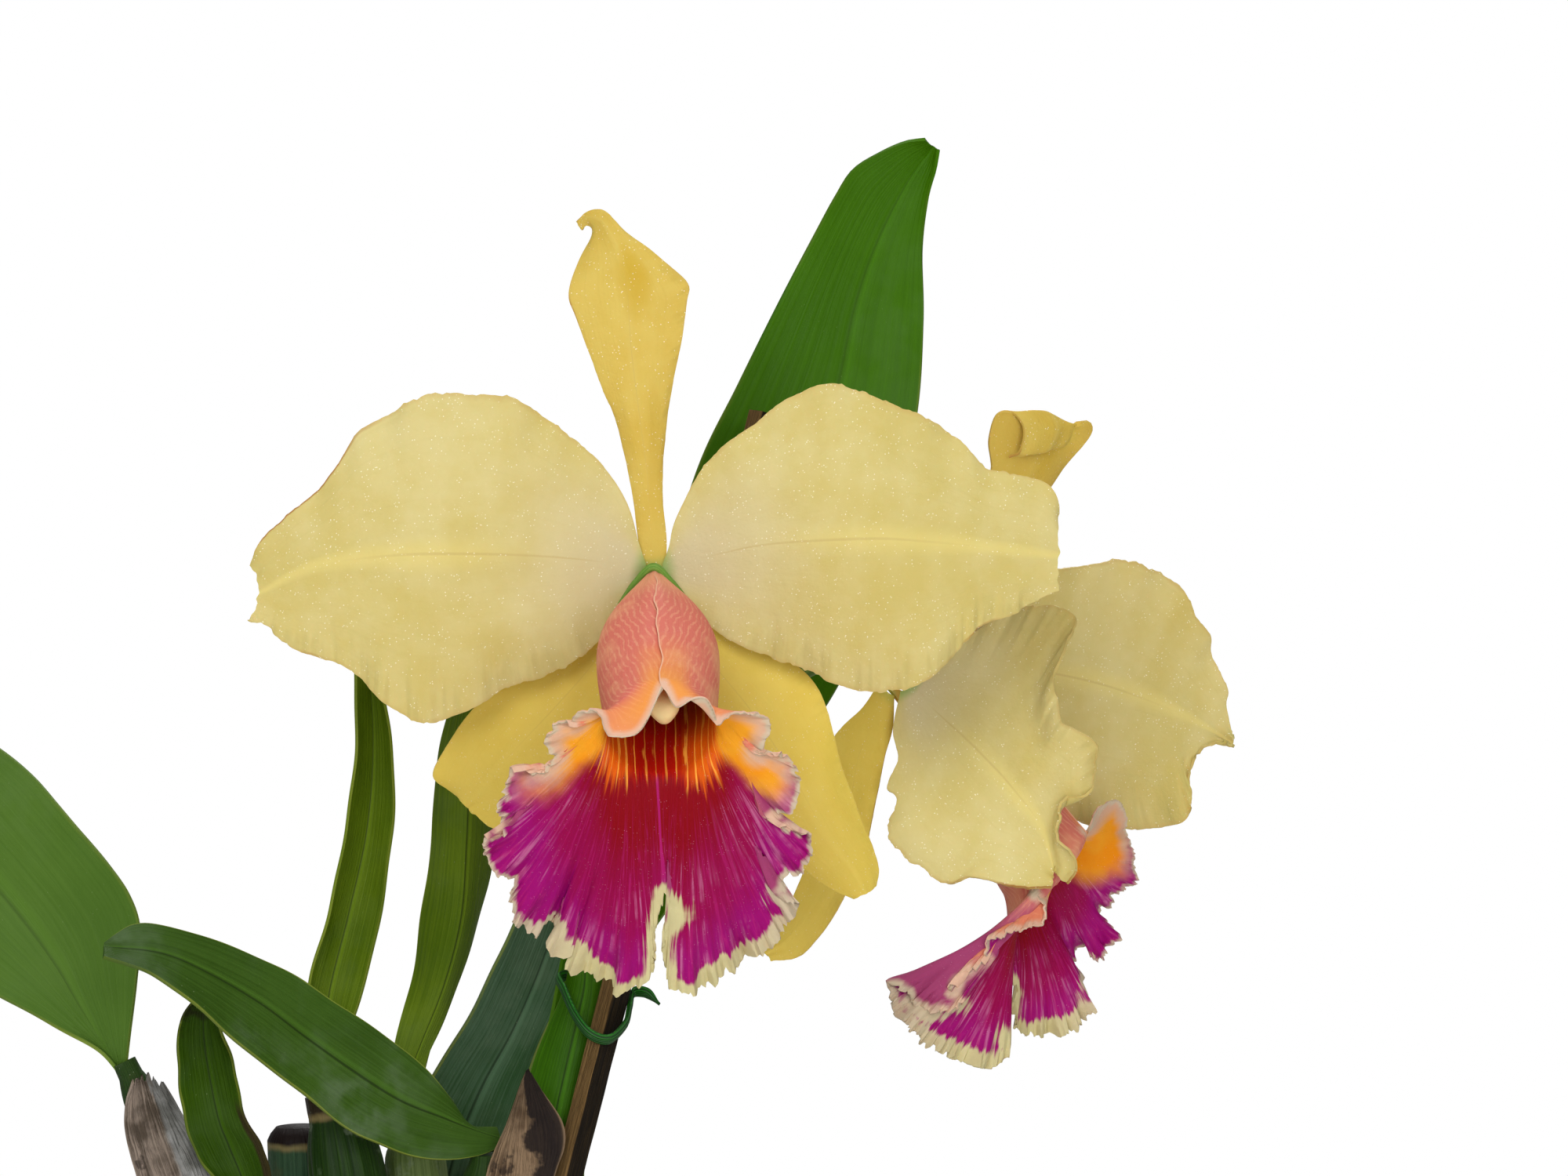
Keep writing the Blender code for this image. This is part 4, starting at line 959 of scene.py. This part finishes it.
# %% Pseudobulb finishes
def bulb_finish(name, deep, light, scar=None):
    finish = Finish(name, Specular_IOR_Level=0.16, Subsurface_Weight=0.03, Subsurface_Scale=0.001)
    along, around = finish.carried("along"), finish.carried("around")
    lines = finish.streaks(around * 60, along * 3, detail=4)
    colour = finish.mix(deep, light, (lines * 0.7 + finish.noise(70) * 0.5).rise(0.4, 0.75))
    blotch = finish.noise(90, 5.0).rise(0.56, 0.72)
    colour = finish.mix(colour, (96, 88, 44), blotch * 0.45)
    pale = finish.noise(240, 4.0).rise(0.58, 0.7) * finish.noise(50).rise(0.45, 0.6)
    colour = finish.mix(colour, (134, 148, 120), pale * 0.35)
    foot = (along + lines * 0.06).rise(0.2, 0.04)
    colour = finish.mix(colour, (126, 104, 72), foot * 0.85)
    if scar:
        line, top = ((along + finish.noise(160) * 0.02).rise(low, low + 0.01) for low in (0.968, 0.978))
        colour = finish.mix(colour, (150, 130, 84), line * 0.7)
        colour = finish.mix(colour, scar, top)
    dust = finish.cells(900).rise(0.14, 0.05) * finish.noise(60).rise(0.45, 0.65)
    colour = finish.mix(colour, (188, 194, 164), dust * 0.45)
    relief = lines * 0.7 + finish.noise(500, 3.0) * 0.3
    return finish.done(colour, 0.42 + lines * 0.2 + foot * 0.3, relief, 0.001, 0.5)


young_bulb = bulb_finish("bulb, young", (34, 70, 8), (66, 110, 20))
grown_bulb = bulb_finish("bulb, grown", (16, 40, 2), (36, 62, 10))
bare_bulb = bulb_finish("bulb, bare", (14, 38, 2), (34, 60, 10), scar=(46, 36, 20))
pale_bulb = bulb_finish("bulb, pale", (78, 98, 44), (114, 132, 76))
cut_bulb = bulb_finish("bulb, cut", (30, 58, 36), (62, 92, 64), scar=(24, 12, 10))

# %% Pseudobulbs
BULBS = {  # node: (path, widest radius, radius at the top, furrows, their depth, end, finish)
    "pseudobulb_lead": ([(16, 3, 118), (17, 4, 175), (18, 1, 229)], 8, 5, 9, 0.05, 0.05, young_bulb),
    "pseudobulb_left": ([(-37, 3, 118), (-45, 6, 185), (-57, 8, 222), (-64, 8, 238), (-67, 8, 244.4)],
                        6.5, 3.4, 11, 0.12, 0.08, grown_bulb),
    "pseudobulb_short": ([(-18.5, 0, 118), (-34, -8, 175), (-42, -7, 210)],
                         6.5, 4, 10, 0.08, 0.04, grown_bulb),
    "pseudobulb_cut": ([(-27.5, 5, 118), (-32, 19, 175), (-34, 17, 231)], 6, 6, 8, 0.06, 0.02, cut_bulb),
    "pseudobulb_ribbed": ([(-10, 3.5, 118), (-16, 2, 175), (-22.6, 0, 222), (-26, 0, 239)],
                          7.5, 7.5, 13, 0.12, 0.14, bare_bulb),
    "pseudobulb_middle": ([(-1.5, 6, 118), (-5, 13, 175), (-11, 11, 231)], 6.5, 6, 9, 0.04, 0.06, pale_bulb),
    "pseudobulb_arching": ([(5, 0, 118), (3.5, -5, 175), (5, -9, 228)], 6.5, 5, 10, 0.07, 0.06, grown_bulb),
    "pseudobulb_back": ([(9, 10, 118), (9, 23, 165), (-7, 25, 201)], 5.5, 3.5, 8, 0.06, 0.04, pale_bulb),
}
RHIZOME_PATH = [(-43, 3, 113), (-10, 3, 112.5), (24, 4, 113)]


def spindle(widest, top, furrows, depth, end):
    foot = 0.6 * widest

    def radius(t, angle):
        body = foot + (top - foot) * t + (widest - (foot + top) / 2) * np.sin(np.pi * t) ** 1.3
        furrow = abs(np.sin(furrows * angle / 2 + 0.5 * wander(6 * t, furrows))) ** 0.6
        nodes = 0.03 * np.exp(-((np.mod(4 * t + 0.5, 1) - 0.5) / 0.06) ** 2)
        return body * (1 - depth * (1 - furrow) * np.sin(np.pi * t) ** 0.5 - nodes) * rounded_end(t, 0.5, end)
    return radius


def rhizome_radius(t, angle):
    """A creeping stem, ringed with the scars of its scales."""
    rings = 1 - 0.12 * np.exp(-((np.mod(9 * t, 1) - 0.5) / 0.1) ** 2)
    return (3 + np.sin(np.pi * t)) * rings


for node, (path, *form, finish) in BULBS.items():
    shape = tube_shape(path, spindle(*form), 90, 66)
    new_piece(f"{node}_fresh", shape, finish, node)
    print(node, "is", path[-1][2] - path[0][2], "mm tall")
new_piece("rhizome_fresh", tube_shape(RHIZOME_PATH, rhizome_radius, 110, 28), pale_bulb, "rhizome")

# %% [markdown]
# ## Dry sheaths
#
# While it grows, each shoot is wrapped in sheaths, which dry to papery scales that stay around the
# bulb. They are thin sheets curled around the bulb's near side, with fibres along their length, torn
# tops, and stains of grey, beige and black. The one at the foot of the flower stem is still green.

# %% Sheath finishes
def paper_finish(name, pale, brown, dark, dark_from, smooth_side=0.0):
    """`dark_from` is how far along the black stain starts; `smooth_side` greys one side of the sheath."""
    finish = Finish(name, Specular_IOR_Level=0.2)
    along, across = finish.carried("along"), finish.carried("across")
    fibres = finish.streaks(across * 16, along * 3.4, detail=6)
    cloud = finish.noise(130, 6.0)
    colour = finish.mix(brown, pale, (fibres * 0.7 + cloud * 0.9).rise(0.66, 0.92))
    upward = along + (cloud - 0.5) * 1.1 + across * 0.45 * (1 - smooth_side)
    stain = upward.rise(dark_from, dark_from + 0.12) + finish.noise(210, 5.0).rise(0.6, 0.66) * 0.7
    colour = finish.mix(colour, dark, stain.maths("MINIMUM", stain, 0.94))
    ridge_lines = (fibres - 0.5).size().rise(0.02, 0.0) * 0.5
    colour = finish.mix(colour, toned(brown, 0.5), ridge_lines)
    grey = (across + (cloud - 0.5) * 0.5).rise(0.0, 0.16) * smooth_side
    colour = finish.mix(colour, finish.mix((112, 112, 108), (168, 168, 166), cloud.rise(0.35, 0.6)), grey)
    rim = across.size().rise(0.9, 0.99)
    colour = finish.mix(colour, toned(pale, 1.1), rim * 0.6)
    return finish.done(colour, 0.75 + fibres * 0.15, fibres + cloud * 0.8, 0.0016, 0.9)


grey_paper = paper_finish("sheath, weathered", (150, 134, 120), (84, 72, 60), (46, 36, 30), 1.05, 0.85)
brown_paper = paper_finish("sheath, stained", (150, 124, 96), (92, 72, 52), (28, 21, 22), 0.74)
green_bract = leaf_finish("bract green", (40, 80, 0), (58, 104, 4), 0.02)

# %% Sheaths
SHEATHS = {  # node: (finish, how ragged its top is in mm, rails)
    "sheath_grey": (grey_paper, 1.2, (
        ([(-54, 186), (-59, 204), (-63.4, 220), (-66, 229), (-66.6, 235), (-65, 240)], (3, 3, 3, 3, 4.5)),
        ([(-45, 187), (-49, 205), (-55, 222), (-59, 232), (-62.4, 241.4)], (-4, -3.6, -3, -1, 2.6)),
        ([(-36.5, 189), (-40, 207), (-46.4, 222), (-50.6, 229), (-54.6, 234), (-58.6, 239.6)],
         (3, 3, 3, 3, 4.5)),
    )),
    "sheath_brown": (brown_paper, 0.3, (
        ([(2, 200), (3.4, 212), (5, 225), (8.6, 234), (10.8, 240), (12.2, 243.4)], (-14, -14, -15)),
        ([(7, 199), (10, 212), (12.6, 224), (13, 235), (12.9, 244.6)], (-18, -18, -16)),
        ([(11.5, 200), (15.4, 212), (18, 224), (20, 230), (19.6, 234.6), (16.6, 239.4), (13.7, 243.6)],
         (-14, -14.5, -15)),
    )),
    "sheath_floral": (green_bract, 0.1, (
        ([(8, 221), (10.6, 234), (13.4, 245), (16.4, 252.6), (19.2, 259), (20.6, 265)], (-2, -3, -3)),
        ([(15, 220), (17.6, 234), (20, 245), (22, 253.6), (23.4, 260), (23.6, 266)], (-6.6, -7, -5.4)),
        ([(23, 221), (24.6, 234), (26.6, 246), (28, 254), (28, 260), (26.6, 265)], (-3, -3.4, -3.4)),
    )),
}


def make_sheath(node, finish, ragged, rails):
    points = stretch(rails, 90, 60, crease=0)
    along, across = grid_axes(points)
    wrinkles = wander(across * 22 + along * 4, 3) * 0.16 + wander(along * 24, 5) * wander(across * 5, 2) * 0.4
    points = pushed(points, wrinkles * ragged)
    points[..., 2] += wander(across * 17, 7) * ragged * rise(along, 0.85, 1)
    new_piece(f"{node}_fresh", sheet_shape(points, 0.4, 0.1, -1), finish, node)


for node, (finish, ragged, rails) in SHEATHS.items():
    make_sheath(node, finish, ragged, rails)

# %% [markdown]
# ## The stake and its tie
#
# A split wooden stake leans through the plant and carries the flower stem. It was split and not
# turned, so its faces are fibrous and its corners uneven: a tube whose radius follows a square. The
# faces that look left are fresh wood; the others are dark wood with painted shade laid over it, nearly
# black. A soft green tie with grooves along it loops around the stem and the stake, and its tail
# sticks out on the right; its grooves carry painted shade as darker stripes.

# %% Stake
STAKE_SIDE = 4.3
STAKE_BOTTOM, STAKE_TOP = (-21.5, -24, 60), (58, 1, 371)
FACE_TURN = math.radians(49)     # from the back to the middle of a face


def stake_radius(t, angle):
    off_face = np.mod(angle - FACE_TURN + math.pi / 4, math.pi / 2) - math.pi / 4
    square = STAKE_SIDE / 2 / np.cos(off_face)
    fibres = wander(angle * 15, 1) * 0.07 + wander(t * 60 + 3 * angle, 4) * 0.05
    return np.minimum(square, STAKE_SIDE * 0.66) * (1 + 0.05 * wander(5 * t, 2)) + fibres


def stake_finish(name):
    finish = Finish(name, Specular_IOR_Level=0.2)
    along, around = finish.carried("along"), finish.carried("around")
    grain = finish.streaks(around * 90, along * 26, detail=6)
    fresh = finish.mix((102, 76, 40), (148, 116, 70), grain.rise(0.35, 0.65))
    fresh = finish.mix(fresh, (78, 50, 28), grain.rise(0.6, 0.68) * 0.7)
    # The faces that look away from the left: dark wood with painted shade over it, which makes them nearly
    # black
    weathered = finish.mix((20, 13, 4), (56, 43, 21), grain.rise(0.4, 0.72))
    colour = finish.mix(weathered, fresh, (around + (grain - 0.5) * 0.02).rise(0.505, 0.517))
    stain = finish.noise(60, 4.0).rise(0.55, 0.7)
    colour = finish.mix(colour, (52, 36, 22), stain * 0.4)
    return finish.done(colour, 0.8 + grain * 0.15, grain, 0.0016, 0.9)


new_piece("stake_fresh", tube_shape([STAKE_BOTTOM, (18.25, -11.5, 215.5), STAKE_TOP], stake_radius, 420, 72),
          stake_finish("stake wood"), "stake")

# %% Tie
TIE_PATH = [(38, -6.4, 256.6), (35.4, -5.6, 258.8), (32.8, -4.8, 258.6), (32.2, -7.4, 256),
            (31.4, -10.4, 253), (28.4, -13.2, 250.4), (24.8, -13.2, 251.4), (21.8, -11.4, 255),
            (19.6, -8, 259.4), (18.4, -3, 261.6), (21.5, 1.6, 261.4), (27, 1, 260), (31, -1.4, 259.4)]


def tie_radius(t, angle):
    """A flat strip, 2.5 mm by 1.1 mm, with three ridges along each face."""
    flat = 1 / np.sqrt((np.cos(angle) / 1.25) ** 2 + (np.sin(angle) / 0.55) ** 2)
    ridges = 1 + 0.06 * np.cos(10 * angle)
    return flat * ridges * (1 - 0.7 * rise(t, 0.06, 0.0))


def tie_finish(name):
    finish = Finish(name, Specular_IOR_Level=0.4)
    along, around = finish.carried("along"), finish.carried("around")
    grooves = (around * 62.8).sine()
    # Darker stripes that follow the grooves: painted shade in them
    colour = finish.mix((4, 60, 2), (24, 108, 8), grooves.rise(-0.4, 0.9))
    colour = finish.mix(colour, (78, 120, 60), finish.noise(300, 4.0).rise(0.6, 0.75) * 0.4)
    relief = grooves * 0.5 + finish.noise(900) * 0.3
    return finish.done(colour, 0.38 + finish.noise(200) * 0.2, relief, 0.0005, 0.5)


TIE_AXIS = (0.18, -0.56, 0.81)   # square to the plane in which the tie loops
tie_shape = tube_shape(TIE_PATH, tie_radius, 220, 40, back=TIE_AXIS)
new_piece("tie_fresh", tie_shape, tie_finish("tie plastic"), "tie")

# %% [markdown]
# ## The pot
#
# The pot is a plain thrown clay pot with a thicker band at its rim. Its profile is spun around the
# axis in fine steps, and four drainage holes are cut through the floor with a Boolean. The clay is
# matt, with a slight bloom of lime near the foot and rim where water dries out, fine turning lines,
# and darker damp patches.

# %% Pot
HOLES, HOLE_RADIUS, HOLE_RING, FLOOR_THICKNESS = 4, 6, 28, 7   # the holes' number, and mm
POT_PROFILE = [  # radius and height, up the inside, over the rim and its band, and down the outside
    (0, 7), (20, 7), (48, 7), (50, 9), (59.5, 53), (69, 100), (73, 121), (74, 124), (75, 124.8),
    (77, 125), (78.6, 124.8), (79.7, 123.8), (80, 122.4), (79.4, 112), (78.6, 102), (78, 100.4),
    (76.6, 99.8), (75.2, 99.2), (65.8, 50), (56.8, 3), (56, 0.8), (54.8, 0), (40, 0), (0, 0),
]


def spun(profile, steps):
    """A bmesh of the profile, as (radius, height) in mm from axis to axis, spun around Z."""
    shape = bmesh.new()
    corners = [shape.verts.new((radius * MM, 0, height * MM)) for radius, height in profile]
    edges = [shape.edges.new(pair) for pair in zip(corners, corners[1:])]
    bmesh.ops.spin(shape, geom=corners + edges, cent=(0, 0, 0), axis=(0, 0, 1), angle=2 * math.pi,
                   steps=steps, use_merge=True)
    bmesh.ops.remove_doubles(shape, verts=shape.verts, dist=1e-6)
    bmesh.ops.recalc_face_normals(shape, faces=shape.faces)
    return shape


def clay_finish(name):
    finish = Finish(name, Specular_IOR_Level=0.2)
    x, y, z = (finish.node("ShaderNodeSeparateXYZ", values={0: finish.place}, output=axis)
               for axis in range(3))
    height = z * (1 / MM)
    lines = finish.streaks(height * 1.1, x * 14, y * 14, detail=4)
    cloud = finish.noise(24, 5.0)
    colour = finish.mix((156, 86, 56), (190, 114, 78), (cloud * 0.7 + lines * 0.5).rise(0.4, 0.75))
    foot_and_rim = (height + cloud * 40).rise(40, 18) + (height + cloud * 24).rise(120, 134)
    lime = (foot_and_rim * finish.noise(150, 5.0)).rise(0.25, 0.8)
    colour = finish.mix(colour, (206, 186, 164), lime * 0.6)
    damp = finish.noise(14, 3.0).rise(0.55, 0.7) * height.rise(100, 60)
    colour = finish.mix(colour, (118, 62, 42), damp * 0.45)
    grit = finish.cells(700).rise(0.12, 0.03)
    colour = finish.mix(colour, (90, 52, 38), grit * 0.5)
    relief = lines * 0.6 + finish.noise(900) * 0.4 + grit * 0.3
    return finish.done(colour, 0.85 - damp * 0.15, relief, 0.0006, 0.6)


def drilled(piece):
    """Cuts the drainage holes and keeps the result as the piece's own mesh."""
    bars = bmesh.new()
    for hole in range(HOLES):
        angle = 2 * math.pi * (hole + 0.5) / HOLES
        spot = Vector((HOLE_RING * math.cos(angle), HOLE_RING * math.sin(angle), FLOOR_THICKNESS / 2)) * MM
        radius = HOLE_RADIUS * MM
        bmesh.ops.create_cone(bars, cap_ends=True, segments=48, radius1=radius, radius2=radius,
                              depth=3 * FLOOR_THICKNESS * MM, matrix=Matrix.Translation(spot))
    mesh = bpy.data.meshes.new("holes")
    bars.to_mesh(mesh)
    bars.free()
    cutter = bpy.data.objects.new("holes", mesh)
    bpy.context.collection.objects.link(cutter)
    cut = piece.modifiers.new("holes", "BOOLEAN")
    cut.operation, cut.object = "DIFFERENCE", cutter
    ready = piece.evaluated_get(bpy.context.evaluated_depsgraph_get())
    piece.data = bpy.data.meshes.new_from_object(ready)
    piece.modifiers.clear()
    bpy.data.objects.remove(cutter)
    print("pot faces after drilling:", len(piece.data.polygons))


drilled(new_piece("pot_fired", spun(POT_PROFILE, 120), clay_finish("pot clay"), "pot", sharp=30))

# %% [markdown]
# ## Bark
#
# Orchids grow in coarse bark, not soil. A lumpy bed fills the pot, and loose chips lie all over it.
# A chip is a block with its corners bevelled off and its sides pushed about. Hundreds of them are
# needed, so each has only a few dozen faces, and a fixed seed throws them the same way every time.

# %% Bark
BED_TOP, BED_RADIUS = 105, 66    # mm, where the bark ends


def bark_finish(name):
    finish = Finish(name, Specular_IOR_Level=0.15)
    tone = finish.carried("tone")
    grain = finish.noise(1.0, 5.0, at=finish.node("ShaderNodeMapping", values={"Vector": finish.place,
                                                                               "Scale": (300, 300, 900)}))
    colour = finish.mix((62, 40, 26), (128, 88, 58), (grain * 0.6 + tone * 0.6).rise(0.3, 0.85))
    colour = finish.mix(colour, (34, 22, 16), finish.noise(420, 4.0).rise(0.55, 0.66) * 0.7)
    colour = finish.mix(colour, (150, 122, 92), finish.noise(160, 3.0).rise(0.6, 0.72) * 0.5)
    return finish.done(colour, 0.82 + grain * 0.12, grain + finish.noise(1200, 3.0) * 0.4, 0.0012, 0.8)


bark = bark_finish("bark")


def bark_bed():
    profile = [(0, 7.4), (49.2, 7.4), (68.2, 100), (68.8, BED_TOP - 3), (66, BED_TOP - 1)]
    profile += [(radius, BED_TOP) for radius in range(60, -1, -6)]
    shape = spun(profile, 96)
    tone = shape.verts.layers.float.new("tone")
    for vertex in shape.verts:
        vertex[tone] = 0.2
        if vertex.co.z > (BED_TOP - 2) * MM:
            vertex.co.z += 1.2 * MM * (wander(vertex.co.x * 240, 1) * wander(vertex.co.y * 260, 2))
    return shape


def bark_chips(count=520, seed=4):
    """Loose chips in the pot's mouth."""
    chance = random.Random(seed)
    shape = bmesh.new()
    tone = shape.verts.layers.float.new("tone")
    for _ in range(count):
        chip = bmesh.new()
        bmesh.ops.create_cube(chip, size=1)
        bmesh.ops.bevel(chip, geom=chip.edges[:], offset=0.16, offset_type="OFFSET", segments=1, profile=0.5,
                        affect="EDGES", material=-1)
        for vertex in chip.verts:
            vertex.co += Vector([chance.uniform(-0.09, 0.09) for _ in range(3)])
        size = (chance.uniform(6, 15), chance.uniform(4, 9), chance.uniform(2, 4.5))
        radius, around = BED_RADIUS * math.sqrt(chance.random()), chance.uniform(0, 2 * math.pi)
        reach = max(radius - size[0] / 3, 0)
        lift = BED_TOP + chance.uniform(0.4, 3.4) * (1 - 0.4 * radius / BED_RADIUS)
        angles = [chance.uniform(-0.4, 0.4), chance.uniform(-0.4, 0.4), chance.uniform(0, 6.28)]
        turn = Euler(angles).to_matrix()
        place = Vector((reach * math.cos(around), reach * math.sin(around), lift)) * MM
        bmesh.ops.transform(chip, verts=chip.verts, matrix=Matrix.Translation(place) @ turn.to_4x4()
                            @ Matrix.Diagonal((*(MM * side for side in size), 1)))
        shade = chance.random()
        moved = {vertex: shape.verts.new(vertex.co) for vertex in chip.verts}
        for vertex in moved.values():
            vertex[tone] = shade
        for face in chip.faces:
            shape.faces.new([moved[vertex] for vertex in face.verts])
        chip.free()
    return shape


new_piece("potting_bed", bark_bed(), bark, "potting_medium", sharp=180)
chips = new_piece("bark_chips", bark_chips(), bark, sharp=30)
print("bark chips:", len(chips.data.polygons), "faces")

# %% [markdown]
# ## Floor, light and camera
#
# A pale round floor, small enough that its far side stays under the picture's lower edge, carries
# the pot. One big soft lamp stands high on the left in front, a weaker one fills from the right, and
# two more light the floor and the plant's back. The sky is seen as plain white, but lights the scene
# with only about a quarter of that, so that it doesn't lie as a haze on the dark waxy leaves. The
# camera is level with the flowers and a little over a metre away, with a lens long enough to hold
# the front flower at a natural size.

# %% Floor
def make_floor(radius=1.9):
    finish = Finish("floor paint")
    grain = finish.noise(9)
    colour = finish.mix((231, 231, 230), (238, 238, 237), grain)
    made = finish.done(colour, 0.8 + grain * 0.1, finish.noise(400), 0.0002, 0.2)
    shape = bmesh.new()
    bmesh.ops.create_circle(shape, cap_ends=True, segments=96, radius=radius)
    bmesh.ops.translate(shape, vec=(0, 0, -0.0004), verts=shape.verts)
    mesh = bpy.data.meshes.new("floor")
    shape.to_mesh(mesh)
    shape.free()
    mesh.materials.append(made)
    floor = bpy.data.objects.new("floor", mesh)
    bpy.context.collection.objects.link(floor)


make_floor()

# %% Light
def soft_lamp(name, place, aim, size, power):
    lamp = bpy.data.lights.new(name, "AREA")
    lamp.shape, lamp.size, lamp.energy = "DISK", size, power
    holder = bpy.data.objects.new(name, lamp)
    holder.location = place
    holder.rotation_euler = (Vector(aim) - Vector(place)).to_track_quat("-Z", "Y").to_euler()
    bpy.context.collection.objects.link(holder)


BLOOM = (0.04, -0.04, 0.33)
soft_lamp("key", (-0.35, -1.5, 0.9), BLOOM, 0.8, 11)
soft_lamp("front", (0.5, -1.55, 0.4), BLOOM, 0.8, 8.5)
soft_lamp("top", (0, 0.1, 1.7), (0, 0, 0), 1.2, 9)
soft_lamp("back", (0.3, 1.4, 1.3), BLOOM, 0.8, 9)

world = bpy.data.worlds.new("white room")
bpy.context.scene.world = world
world.use_nodes = True
sky = world.node_tree
seen = sky.nodes.new("ShaderNodeLightPath").outputs["Is Camera Ray"]
brightness = sky.nodes.new("ShaderNodeMapRange")
SKY_LIGHT, SKY_SEEN = 0.26, 1.0
brightness.inputs["To Min"].default_value, brightness.inputs["To Max"].default_value = SKY_LIGHT, SKY_SEEN
sky.links.new(seen, brightness.inputs["Value"])
sky.links.new(brightness.outputs["Result"], sky.nodes["Background"].inputs["Strength"])
sky.nodes["Background"].inputs["Color"].default_value = (1, 1, 1, 1)
bpy.context.scene.view_settings.view_transform = "Standard"

# %% Camera
CAMERA_PLACE = Vector((0.062, -1.15, 0.337))
FLOWER_DISTANCE = 1.1            # m, from the camera to the first flower
VIEW_WIDTH = 0.2912              # m, the picture's width at that distance

lens = bpy.data.cameras.new("camera")
lens.sensor_width = 36
lens.lens = lens.sensor_width * FLOWER_DISTANCE / VIEW_WIDTH
camera = bpy.data.objects.new("camera", lens)
camera.location = CAMERA_PLACE
camera.rotation_euler = (math.radians(90), 0, 0)
bpy.context.collection.objects.link(camera)
bpy.context.scene.camera = camera
print("lens, mm:", round(lens.lens, 1))
